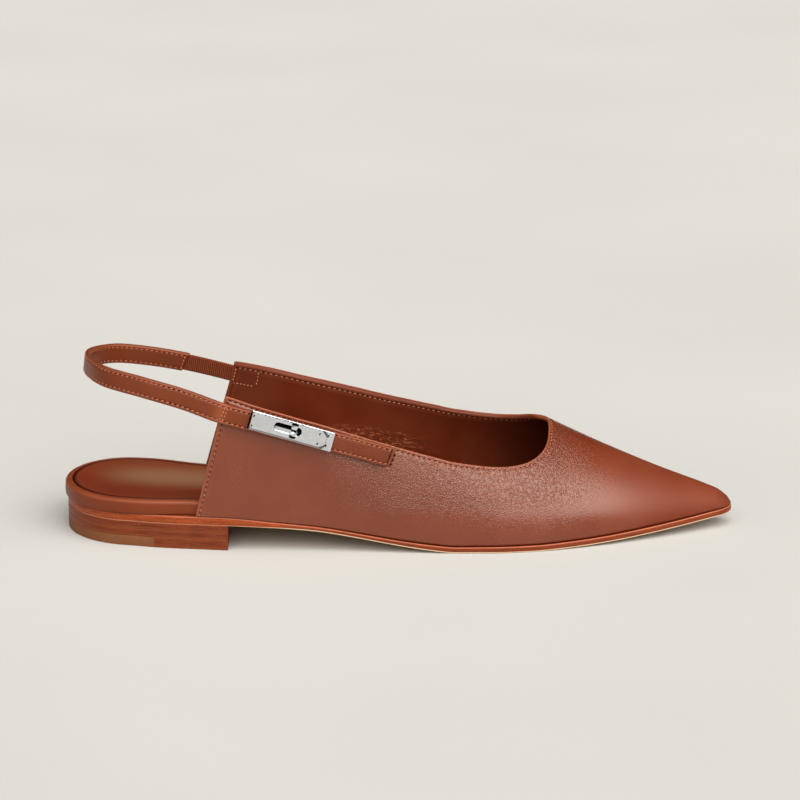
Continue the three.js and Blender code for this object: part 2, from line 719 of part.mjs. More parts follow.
// Knob: a post through the slot and a bar across it, rounded over its length and waisted
function knobGeometry() {
  const barLow = 2 * plateThickness + 2 * seatGap + clearance;
  const postLength = barLow + knobHeight / 2 - plateThickness - seatGap;
  const post = new THREE.CylinderGeometry(postRadius, postRadius, postLength, 20);
  post.rotateX(Math.PI / 2);
  post.translate(knobPlace, slotRaise, plateThickness + seatGap + postLength / 2);
  const middle = knobWaistWidth / knobWidth;
  const taper = (1 - (knobEndWidth / knobWidth) ** 2) ** (1 / 6);
  const sections = [];
  const steps = 16;
  const sides = 12;
  for (let i = 0; i <= steps; i += 1) {
    const v = -1 + (2 * i) / steps;
    const waist = middle + (1 - middle) * Math.sin(Math.PI * Math.abs(v)) ** 2;
    const girth = waist * Math.sqrt(1 - (taper * v) ** 6);
    sections.push(
      Array.from({ length: sides }, (_, k) => {
        const a = (2 * Math.PI * k) / sides;
        const x = (knobWidth / 2) * girth * Math.cos(a);
        const z = (knobHeight / 2) * (1 + girth * Math.sin(a));
        return new THREE.Vector3(knobPlace + x, slotRaise + (v * knobLength) / 2, barLow + z);
      }),
    );
  }
  const merged = closedGeometry(trianglesOf(post));
  return geometryOf(solid(merged).add(solid(loft(sections))));
}

function trianglesOf(geometry) {
  const flat = geometry.index ? geometry.toNonIndexed() : geometry;
  const p = flat.getAttribute("position");
  const point = (i) => new THREE.Vector3().fromBufferAttribute(p, i);
  return Array.from({ length: p.count / 3 }, (_, i) => [point(3 * i), point(3 * i + 1), point(3 * i + 2)]);
}

// Domed rivet head
function rivetGeometry() {
  const profile = [new THREE.Vector2(0, 0), new THREE.Vector2(rivetRadius, 0)];
  const steps = 3;
  for (let i = 1; i <= steps; i += 1) {
    const a = (Math.PI / 2) * (i / steps);
    profile.push(new THREE.Vector2(rivetRadius * Math.cos(a), rivetHeight * Math.sin(a)));
  }
  profile.at(-1).x = 0;
  const dome = new THREE.LatheGeometry(profile, 12);
  dome.rotateX(Math.PI / 2);
  return faceOut(closedGeometry(trianglesOf(dome)));
}

const leather = new THREE.MeshStandardMaterial({ color: 0x8a4a31, roughness: 0.5, metalness: 0 });
const lining = new THREE.MeshStandardMaterial({ color: 0x7a3c26, roughness: 0.55, metalness: 0 });
const soleLeather = new THREE.MeshStandardMaterial({ color: 0xa0522a, roughness: 0.45, metalness: 0 });
const stackedLeather = new THREE.MeshStandardMaterial({ color: 0x8a4226, roughness: 0.45, metalness: 0 });
const rubber = new THREE.MeshStandardMaterial({ color: 0x805437, roughness: 0.7, metalness: 0 });
const elasticWeave = new THREE.MeshStandardMaterial({ color: 0x6e3822, roughness: 0.85, metalness: 0 });
const steel = new THREE.MeshStandardMaterial({ color: 0xd0d0d0, roughness: 0.2, metalness: 1 });

const shoe = new THREE.Group();
shoe.position.x = -originFromBack;

function piece(name, geometry, material, parent = shoe) {
  geometry.computeVertexNormals();
  const mesh = new THREE.Mesh(geometry, material);
  mesh.name = name;
  parent.add(mesh);
  return mesh;
}

piece("outsole", outsoleGeometry(), soleLeather);
const liftThickness = (heelHeight - topPieceThickness) / liftCount;
for (let i = 1; i <= liftCount; i += 1) {
  const high = heelHeight - (i - 1) * liftThickness - seatGap;
  piece(`heel_lift_${i}`, heelLayer(0, breastPlace, high + seatGap - liftThickness, high), stackedLeather);
}
const topPieceHigh = topPieceThickness - seatGap;
piece("top_piece_rubber", heelLayer(0, rubberPlace - seatGap, 0, topPieceHigh), rubber);
piece("top_piece_leather", heelLayer(rubberPlace, breastPlace, 0, topPieceHigh), stackedLeather);
piece("footbed", footbedGeometry(), leather);
piece("sock", sockGeometry(), lining);
piece("upper", upperGeometry(), leather);
piece("sling_strap", strapGeometry(), leather);
piece("elastic", elasticGeometry(), elasticWeave);

const lock = lockFrame();
shoe.add(lock);
const platePress = { depth: plateThickness, bevelEnabled: false, curveSegments: 10 };
const base = new THREE.ExtrudeGeometry(plateShape(lockLength, lockHeight, 0), platePress);
piece("lock_base_plate", faceOut(closedGeometry(trianglesOf(base))), steel, lock);
const frontShape = plateShape(lockLength - frontPlateShort, lockHeight - 2 * frontPlateInset, cornerClip);
frontShape.holes.push(slotPath());
const front = new THREE.ExtrudeGeometry(frontShape, platePress);
front.translate(0, 0, plateThickness + seatGap);
piece("lock_front_plate", faceOut(closedGeometry(trianglesOf(front))), steel, lock);
piece("lock_knob", knobGeometry(), steel, lock);

const frontEnd = lockLength / 2 - frontPlateShort;
const rivetPairs = [
  { place: -lockLength / 2 + rivetInset, plates: 2 },
  { place: frontEnd - cornerClip - 2 * rivetRadius, plates: 2 },
  { place: frontEnd + rivetBeyond, plates: 1 },
];
rivetPairs.forEach(({ place, plates }, pair) => {
  [-1, 1].forEach((up, k) => {
    const rivet = piece(`lock_rivet_${2 * pair + k + 1}`, rivetGeometry(), steel, lock);
    rivet.position.set(place, (up * rivetSpread) / 2, plates * (plateThickness + seatGap));
  });
});

export default shoe;
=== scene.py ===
"""Looks of a slingback shoe, worked out with numpy round its packed construction.

Shapes are in millimetres from the back of the heel seat: +X to the toe, +Y to the inner side of the
foot, +Z up from the floor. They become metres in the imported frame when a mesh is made.
"""

import logging
import math
from dataclasses import dataclass, field
from enum import Enum

import bmesh
import bpy
import numpy as np
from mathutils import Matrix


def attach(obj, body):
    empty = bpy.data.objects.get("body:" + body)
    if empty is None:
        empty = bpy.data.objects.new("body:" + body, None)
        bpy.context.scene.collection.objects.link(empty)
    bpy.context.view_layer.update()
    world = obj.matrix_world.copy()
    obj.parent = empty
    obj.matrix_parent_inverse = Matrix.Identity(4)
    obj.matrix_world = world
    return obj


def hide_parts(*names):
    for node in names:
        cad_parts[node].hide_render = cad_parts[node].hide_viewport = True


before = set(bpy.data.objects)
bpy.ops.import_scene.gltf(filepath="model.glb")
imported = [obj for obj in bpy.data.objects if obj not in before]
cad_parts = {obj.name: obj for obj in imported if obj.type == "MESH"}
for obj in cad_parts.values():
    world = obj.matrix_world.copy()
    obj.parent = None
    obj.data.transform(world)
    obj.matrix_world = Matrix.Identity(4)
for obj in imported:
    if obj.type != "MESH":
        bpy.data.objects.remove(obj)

log = logging.getLogger("slingback")
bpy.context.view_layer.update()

ORIGIN_FROM_BACK = 30.0
METRES = 0.001


class Side(Enum):
    """Side of the foot, with the sign that it has along y."""

    OUTER = -1
    INNER = 1


@dataclass(frozen=True)
class Table:
    """A short table of sizes, read along a smooth curve.

    Attributes:
        names: Names of the columns.
        rows: Rows of values, the first column rising.
    """

    names: tuple[str, ...]
    rows: tuple[tuple[float, ...], ...]

    def at(self, name: str, value: np.ndarray | float) -> np.ndarray:
        """Value of a column: a cubic through the rows, level beside a level stretch.

        Args:
            name: Column to read.
            value: Places in the first column.

        Returns:
            One value for each place.
        """
        data = np.array(self.rows)
        return hermite(data[:, 0], data[:, self.names.index(name)], value)


def hermite(knots: np.ndarray, values: np.ndarray, at: np.ndarray | float) -> np.ndarray:
    """Cubic Hermite curve. Its slope at a knot is the mean of the chords beside it, each weighted by
    the other's length, and nought where a chord is level.

    Args:
        knots: Rising places.
        values: Value at each place.
        at: Places to read, held within the knots.

    Returns:
        Values at the places.
    """
    step = np.diff(knots)
    chord = np.diff(values) / step
    slope = np.concatenate([chord[:1], (chord[:-1] * step[1:] + chord[1:] * step[:-1]) / (step[1:] + step[:-1]), chord[-1:]])
    slope[1:-1][(chord[:-1] == 0) | (chord[1:] == 0)] = 0
    v = np.clip(at, knots[0], knots[-1])
    i = np.clip(np.searchsorted(knots, v, side="right") - 1, 0, len(step) - 1)
    h = step[i]
    t = (v - knots[i]) / h
    return (
        (2 * t**3 - 3 * t**2 + 1) * values[i]
        + (t**3 - 2 * t**2 + t) * h * slope[i]
        + (3 * t**2 - 2 * t**3) * values[i + 1]
        + (t**3 - t**2) * h * slope[i + 1]
    )


def smooth(value: np.ndarray, low: float = 0.0, high: float = 1.0) -> np.ndarray:
    """Soft step: 0 below low, 1 above high, 3t squared less 2t cubed between."""
    t = np.clip((value - low) / (high - low), 0, 1)
    return t * t * (3 - 2 * t)


def unit(vectors: np.ndarray) -> np.ndarray:
    """Vectors divided by their lengths."""
    return vectors / np.maximum(np.linalg.norm(vectors, axis=-1, keepdims=True), 1e-9)


def run_along(line: np.ndarray) -> np.ndarray:
    """Length run along a line of points, nought at its start."""
    return np.concatenate([[0.0], np.cumsum(np.linalg.norm(np.diff(line, axis=0), axis=1))])


def resample(line: np.ndarray, run: np.ndarray, at: np.ndarray) -> np.ndarray:
    """Points of a line at given lengths along it, straight between its own points."""
    return np.stack([np.interp(at, run, line[:, k]) for k in range(line.shape[1])], -1)


def lerp(a: np.ndarray | float, b: np.ndarray | float, t: np.ndarray | float) -> np.ndarray:
    """Mix of a and b, all a at 0 and all b at 1."""
    return a + (b - a) * t


PLAN = Table(
    ("along", "centre", "half"),
    (
        (0.0, 0.077, 0.381),
        (0.09, 0.043, 0.389),
        (0.146, 0.007, 0.401),
        (0.21, -0.043, 0.384),
        (0.247, -0.071, 0.373),
        (0.337, -0.115, 0.341),
        (0.393, -0.117, 0.345),
        (0.449, -0.096, 0.373),
        (0.524, -0.04, 0.44),
        (0.599, 0.003, 0.488),
        (0.655, 0.02, 0.5),
        (0.712, 0.029, 0.476),
        (0.768, 0.032, 0.421),
        (0.824, 0.033, 0.349),
        (0.88, 0.035, 0.264),
        (0.936, 0.039, 0.173),
        (0.981, 0.041, 0.097),
        (1.0, 0.043, 0.067),
    ),
)
PROFILE = Table(
    ("along", "heel", "spring"),
    (
        (0.0, 1, 0),
        (0.245, 1, 0),
        (0.3, 0.96, 0),
        (0.345, 0.89, 0),
        (0.386, 0.79, 0),
        (0.427, 0.62, 0),
        (0.471, 0.41, 0),
        (0.506, 0.25, 0),
        (0.547, 0.09, 0),
        (0.584, 0, 0),
        (0.697, 0, 0),
        (0.742, 0, 0.054),
        (0.801, 0, 0.18),
        (0.861, 0, 0.39),
        (0.921, 0, 0.64),
        (0.959, 0, 0.82),
        (1.0, 0, 1),
    ),
)
LAYERS = Table(
    ("along", "sole", "footbed", "ledge"),
    (
        (0.0, 1, 1, -0.3),
        (0.24, 1, 1, -0.3),
        (0.32, 0.69, 0.72, 0.1),
        (0.45, 0.62, 0.16, 0.7),
        (0.56, 0.75, 0, 1),
        (0.75, 0.81, 0, 1),
        (0.95, 0.84, 0, 0.7),
        (1.0, 0.84, 0, 0),
    ),
)
RIDGE = Table(
    ("along", "across", "rise", "outer", "inner"),
    (
        (0.0, 0.053, 1.58, 3.0, 3.0),
        (0.24, -0.053, 1.545, 3.2, 3.0),
        (0.36, -0.04, 1.385, 3.0, 2.8),
        (0.449, -0.013, 1.27, 2.7, 2.6),
        (0.532, 0.04, 1.142, 2.3, 2.3),
        (0.599, 0.08, 1.006, 2.0, 2.1),
        (0.655, 0.1, 0.874, 1.85, 2.0),
        (0.723, 0.1, 0.718, 1.85, 1.9),
        (0.768, 0.091, 0.609, 1.88, 1.9),
        (0.801, 0.08, 0.53, 1.9, 1.9),
        (0.891, 0.06, 0.315, 2.0, 2.0),
        (0.959, 0.048, 0.163, 2.1, 2.1),
        (0.981, 0.044, 0.109, 2.2, 2.2),
        (0.9925, 0.043, 0.064, 2.2, 2.2),
        (1.0, 0.043, 0.012, 2.2, 2.2),
    ),
)
TOPLINE = {
    Side.OUTER: (
        (0.2465, 0.281),
        (0.283, 0.274),
        (0.323, 0.275),
        (0.364, 0.279),
        (0.405, 0.287),
        (0.446, 0.301),
        (0.487, 0.322),
        (0.53, 0.347),
        (0.558, 0.365),
        (0.586, 0.382),
        (0.614, 0.402),
        (0.642, 0.428),
        (0.664, 0.454),
        (0.685, 0.494),
        (0.7, 0.545),
        (0.712, 0.615),
        (0.719, 0.7),
        (0.722, 0.8),
        (0.723, 1),
    ),
    Side.INNER: (
        (0.251, 0.296),
        (0.275, 0.307),
        (0.317, 0.33),
        (0.36, 0.345),
        (0.402, 0.358),
        (0.444, 0.373),
        (0.501, 0.396),
        (0.531, 0.412),
        (0.56, 0.431),
        (0.59, 0.45),
        (0.619, 0.475),
        (0.648, 0.518),
        (0.677, 0.598),
        (0.697, 0.7),
        (0.711, 0.8),
        (0.719, 0.89),
        (0.723, 1),
    ),
}


@dataclass(frozen=True)
class Last:
    """The last that the shoe is made on, in named sizes and short tables.

    Attributes:
        length: Back of the heel seat to the toe tip.
        ball: Width of the sole at the ball.
        instep: Height of the last above the sole, at the instep.
        heel: Floor to the underside of the sole at the heel.
        spring: Rise of the sole at the toe tip.
        sole: Thickness of the sole at the heel.
        heel_rounding: Length over which the heel closes.
        toe_rounding: Length over which the toe closes.
        wall: Thickness of the upper.
        toe_wall: Thickness of the upper at the tip.
        bulge: Swell of the sides.
        gap: Clearance between curved pieces.
        breast: Front face of the heel, from the back.
    """

    length: float = 266.5
    ball: float = 75.0
    instep: float = 55.0
    heel: float = 10.0
    spring: float = 5.6
    sole: float = 3.2
    heel_rounding: float = 25.0
    toe_rounding: float = 5.0
    wall: float = 1.8
    toe_wall: float = 2.3
    bulge: float = 1.2
    gap: float = 0.3
    breast: float = 66.0

    def centre(self, x: np.ndarray) -> np.ndarray:
        """Middle of the sole's outline."""
        return self.ball * PLAN.at("centre", x / self.length)

    def closing(self, x: np.ndarray, tip: np.ndarray | float) -> np.ndarray:
        """Share of the width left: a quarter circle at the back times one at the tip."""
        back = np.clip(1 - x / self.heel_rounding, 0, 1)
        front = np.clip(1 - (tip - x) / self.toe_rounding, 0, 1)
        return np.sqrt(1 - back**2) * np.sqrt(1 - front**2)

    def half(self, x: np.ndarray) -> np.ndarray:
        """Half the width of the sole's outline."""
        return self.ball * PLAN.at("half", x / self.length) * self.closing(x, self.length)

    def underside(self, x: np.ndarray) -> np.ndarray:
        """Height of the sole's underside."""
        share = x / self.length
        return self.heel * PROFILE.at("heel", share) + self.spring * PROFILE.at("spring", share)

    def sole_top(self, x: np.ndarray) -> np.ndarray:
        """Height of the sole's upper face."""
        return self.underside(x) + self.sole * LAYERS.at("sole", x / self.length)

    def ridge_rise(self, x: np.ndarray) -> np.ndarray:
        """Height of the last's ridge above the sole."""
        return self.instep * RIDGE.at("rise", x / self.length)

    def fullness(self, x: np.ndarray, side: Side) -> np.ndarray:
        """Power of the section's superellipse."""
        return RIDGE.at(side.name.lower(), x / self.length)

    def point(self, x: np.ndarray, side: Side, arc: np.ndarray, skin: float = 0.0) -> np.ndarray:
        """Points of the last. Each half section is a superellipse from the sole (arc 0) to the ridge
        (arc 1), swollen a little between its ends, and the skin lies this deep under the surface.

        Args:
            x: Places along the shoe.
            side: Outer or inner half.
            arc: Shares of the way up the section.
            skin: Depth below the outer surface.

        Returns:
            Points, three numbers each.
        """
        depth = skin / self.wall
        place = x - depth * self.toe_wall * np.maximum(0, x - self.breast) / (self.length - self.breast)
        share = place / self.length
        tip = self.length - depth * self.toe_wall
        half = np.maximum(0, self.ball * PLAN.at("half", share) - skin) * self.closing(place, tip)
        power = 2 / self.fullness(place, side)
        foot = self.sole_top(place) + self.gap
        rise = self.ridge_rise(place) - self.gap - skin
        centre = self.centre(place)
        lean = self.ball * RIDGE.at("across", share) - centre
        ridge = centre + lean * np.minimum(1, half / self.toe_rounding)
        reach = np.abs(centre + side.value * half - ridge)
        c = np.maximum(0, np.cos(arc * np.pi / 2)) ** power
        s = np.sin(np.clip(arc, 0, 1) * np.pi / 2) ** power
        swell = self.bulge * np.minimum(1, half / self.heel_rounding) * 4 * s * (1 - s) * c
        return np.stack([place + 0 * c, ridge + side.value * (reach * c + swell), foot + rise * s], -1)

    def arc_at(self, x: np.ndarray, side: Side, height: np.ndarray) -> np.ndarray:
        """Share of the way up a section at which it reaches a height."""
        s = (height - self.sole_top(x) - self.gap) / (self.ridge_rise(x) - self.gap)
        return np.arcsin(np.clip(s, 0, 1) ** (self.fullness(x, side) / 2)) / (np.pi / 2)

    def normal(self, x: np.ndarray, side: Side, arc: np.ndarray) -> np.ndarray:
        """Outward normal: the section's direction crossed with the direction along the shoe."""
        p = self.point(x, side, arc)
        forward = self.point(x + 1, side, arc) - p
        up = self.point(x, side, arc + 1e-3) - p
        return unit(np.cross(up, forward)) * side.value

    def edge(self, x: np.ndarray, side: Side, margin: np.ndarray | float) -> np.ndarray:
        """Sole's outline, moved outwards across itself by a margin.

        Args:
            x: Places along the shoe.
            side: Outer or inner edge.
            margin: Distance outwards.

        Returns:
            Points in the plan, two numbers each.
        """
        x = np.asarray(x, float)

        def plain(v: np.ndarray) -> np.ndarray:
            """Outline itself."""
            return np.stack([v, self.centre(v) + side.value * self.half(v)], -1)

        step = 0.05
        along = unit(plain(np.clip(x + step, 0, self.length)) - plain(np.clip(x - step, 0, self.length)))
        out = np.stack([-along[..., 1], along[..., 0]], -1) * side.value
        ends = np.where(x <= 0, -1.0, np.where(x >= self.length, 1.0, 0.0))[..., None]
        out = np.where(ends != 0, np.concatenate([ends, 0 * ends], -1), out)
        return plain(x) + out * np.broadcast_to(margin, x.shape)[..., None]

    def edge_across(self, x: np.ndarray, side: Side, margin: np.ndarray | float) -> np.ndarray:
        """Point of the moved outline that lies at x, found by moving the place until its point does."""
        place = np.array(x, float)
        for _ in range(8):
            place = place + x - self.edge(place, side, margin)[..., 0]
        return np.stack([x, self.edge(place, side, margin)[..., 1]], -1)

    def stations(self, start: float, stop: float, step: float) -> np.ndarray:
        """Places along the shoe: even steps of angle round the heel and the tip, even lengths between.

        Args:
            start: First place.
            stop: Last place.
            step: Length of a step between the roundings.

        Returns:
            Rising places.
        """
        turn = np.linspace(0, np.pi / 2, 36)
        back = self.heel_rounding * (1 - np.cos(turn))
        front = self.length - self.toe_rounding * (1 - np.cos(turn[::-1][:: 2]))
        middle = np.arange(self.heel_rounding + step, self.length - self.toe_rounding, step)
        every = np.concatenate([back, middle, front])
        inside = every[(every > start + step / 4) & (every < stop - step / 4)]
        return np.concatenate([[start], inside, [stop]])


LAST = Last()


@dataclass
class Shell:
    """Surfaces gathered for one piece.

    Attributes:
        points: Blocks of points, in millimetres.
        faces: Faces as tuples of point numbers.
        seams: For each block, run along the nearest seam and distance from it, in centimetres.
        tones: For each block, lightness added to the finish.
        finish: Number of the finish of each face.
    """

    points: list[np.ndarray] = field(default_factory=list)
    faces: list[list[int]] = field(default_factory=list)
    seams: list[np.ndarray] = field(default_factory=list)
    tones: list[np.ndarray] = field(default_factory=list)
    finish: list[int] = field(default_factory=list)

    def add(
        self,
        points: np.ndarray,
        faces: np.ndarray | list[list[int]],
        finish: int = 0,
        seam: np.ndarray | None = None,
        tone: np.ndarray | None = None,
    ) -> None:
        """Adds a block of points and its faces.

        Args:
            points: Points of the block.
            faces: Faces, numbered within the block.
            finish: Number of the finish.
            seam: Run and distance of each point, in millimetres, or none.
            tone: Lightness of each point, or none.
        """
        flat = points.reshape(-1, 3)
        start = sum(len(block) for block in self.points)
        self.points.append(flat)
        self.seams.append(np.full((len(flat), 2), 99.0) if seam is None else seam.reshape(-1, 2) / 10)
        self.tones.append(np.zeros(len(flat)) if tone is None else np.broadcast_to(tone, points.shape[:-1]).reshape(-1))
        listed = (np.asarray(faces) + start).tolist() if isinstance(faces, np.ndarray) else [[i + start for i in f] for f in faces]
        self.faces.extend(listed)
        self.finish.extend([finish] * len(listed))

    def grid(self, surface: np.ndarray, wrap: bool = False, **dressing: np.ndarray | int | None) -> None:
        """Adds a grid of points as a surface, closed round its second direction if it wraps."""
        rows, columns = surface.shape[:2]
        self.add(surface, grid_faces(rows, columns, wrap), **dressing)

    def cap(self, ring: np.ndarray, **dressing: np.ndarray | int | None) -> None:
        """Closes a ring with one face."""
        self.add(ring, [list(range(len(ring)))], **dressing)

    def piece(self, name: str, finishes: list[bpy.types.Material], crease: float = 40.0) -> bpy.types.Object:
        """Makes the mesh and its object, with doubled points merged and faces turned outwards.

        Args:
            name: Name of the piece.
            finishes: Materials, in the order of their numbers.
            crease: Angle in degrees past which an edge stays sharp.

        Returns:
            The object, riding on the shoe.
        """
        mesh = bpy.data.meshes.new(name)
        points = (np.concatenate(self.points) - [ORIGIN_FROM_BACK, 0, 0]) * METRES
        mesh.from_pydata(points, [], self.faces)
        mesh.polygons.foreach_set("material_index", np.array(self.finish, np.int32))
        corners = np.zeros(len(mesh.loops), np.int32)
        mesh.loops.foreach_get("vertex_index", corners)
        layer = mesh.uv_layers.new(name="seam")
        layer.data.foreach_set("uv", np.concatenate(self.seams)[corners].astype(np.float32).ravel())
        tone = mesh.attributes.new("tone", "FLOAT", "POINT")
        tone.data.foreach_set("value", np.concatenate(self.tones).astype(np.float32))
        work = bmesh.new()
        work.from_mesh(mesh)
        bmesh.ops.remove_doubles(work, verts=work.verts, dist=2e-6)
        bmesh.ops.dissolve_degenerate(work, edges=work.edges, dist=1e-6)
        bmesh.ops.recalc_face_normals(work, faces=work.faces)
        work.to_mesh(mesh)
        work.free()
        mesh.polygons.foreach_set("use_smooth", np.ones(len(mesh.polygons), bool))
        mesh.set_sharp_from_angle(angle=math.radians(crease))
        for finish in finishes:
            mesh.materials.append(finish)
        made = bpy.data.objects.new(name, mesh)
        bpy.context.scene.collection.objects.link(made)
        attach(made, "root")
        log.info("%s: %d faces", name, len(mesh.polygons))
        return made


def grid_faces(rows: int, columns: int, wrap: bool = False) -> np.ndarray:
    """Four-sided faces of a grid whose points run row by row."""
    index = np.arange(rows * columns).reshape(rows, columns)
    if wrap:
        index = np.concatenate([index, index[:, :1]], 1)
    return np.stack([index[:-1, :-1], index[:-1, 1:], index[1:, 1:], index[1:, :-1]], -1).reshape(-1, 4)


def nearest_on(path: np.ndarray, points: np.ndarray) -> np.ndarray:
    """Run along a path and distance from it, for each point, by the nearest of its straight pieces.

    Args:
        path: Points of the path.
        points: Points to place.

    Returns:
        Run and distance of each point.
    """
    run = run_along(path)
    start, piece = path[:-1], np.diff(path, axis=0)
    square = np.maximum((piece**2).sum(1), 1e-9)
    flat = points.reshape(-1, 3)
    found = np.zeros((len(flat), 2))
    for first in range(0, len(flat), 4000):
        block = flat[first : first + 4000]
        near = ((block[:, None] - path[None]) ** 2).sum(-1).argmin(1)
        best = np.full((len(block), 2), np.inf)
        for shift in (-1, 0):
            i = np.clip(near + shift, 0, len(piece) - 1)
            t = np.clip(((block - start[i]) * piece[i]).sum(1) / square[i], 0, 1)
            away = np.linalg.norm(block - start[i] - piece[i] * t[:, None], axis=1)
            better = away < best[:, 1]
            best[better] = np.stack([run[i] + t * (run[i + 1] - run[i]), away], -1)[better]
        found[first : first + 4000] = best
    return found.reshape(*points.shape[:-1], 2)


@dataclass(frozen=True)
class Stitch:
    """A row of sewing.

    Attributes:
        pitch: From one hole to the next.
        length: Length of the thread that shows.
        thickness: Thickness of the thread.
        slant: Turn of each thread across the row, in degrees.
        proud: Height of the thread's middle over the leather.
        dash: Half the length of the dark dash where the thread dives.
        hole: Half its width.
    """

    pitch: float = 2.2
    length: float = 1.25
    thickness: float = 0.5
    slant: float = 8.0
    proud: float = 0.04
    dash: float = 0.56
    hole: float = 0.27

    def sew(self, shell: Shell, line: np.ndarray, normals: np.ndarray, margin: float = 0.0) -> None:
        """Lays threads along a line. A thread is a tube that thins and dives at its ends: its radius is
        the root of one less u to the fourth, and its middle drops with u squared, u running from -1 to 1.

        Args:
            shell: Where the threads go.
            line: Points that the row follows.
            normals: Direction off the leather at each point.
            margin: Length left bare at both ends.
        """
        run = run_along(line)
        count = int((run[-1] - 2 * margin) / self.pitch)
        at = (np.arange(count) + 0.5) * self.pitch
        at = at[(at > margin) & (at < run[-1] - margin)]
        middle = resample(line, run, at)
        along = unit(resample(line, run, at + 0.4) - resample(line, run, at - 0.4))
        out = unit(resample(normals, run, at))
        across = unit(np.cross(out, along))
        turn = np.radians(self.slant)
        along, across = along * np.cos(turn) + across * np.sin(turn), across * np.cos(turn) - along * np.sin(turn)
        u = np.linspace(-1, 1, 7)[:, None]
        angle = np.linspace(0, 2 * np.pi, 6, endpoint=False)[None]
        radius = self.thickness / 2 * np.sqrt(np.maximum(0, 1 - np.abs(u) ** 4))
        length = u * self.length / 2 + 0 * angle
        width = radius * np.cos(angle)
        height = self.proud + 0.7 * radius * np.sin(angle) - 0.22 * u**2
        threads = (
            middle[:, None, None]
            + length[None, ..., None] * along[:, None, None]
            + width[None, ..., None] * across[:, None, None]
            + height[None, ..., None] * out[:, None, None]
        )
        one = grid_faces(7, 6, wrap=True)
        faces = (one[None] + 42 * np.arange(len(at))[:, None, None]).reshape(-1, 4)
        shell.add(threads.reshape(-1, 3), faces)


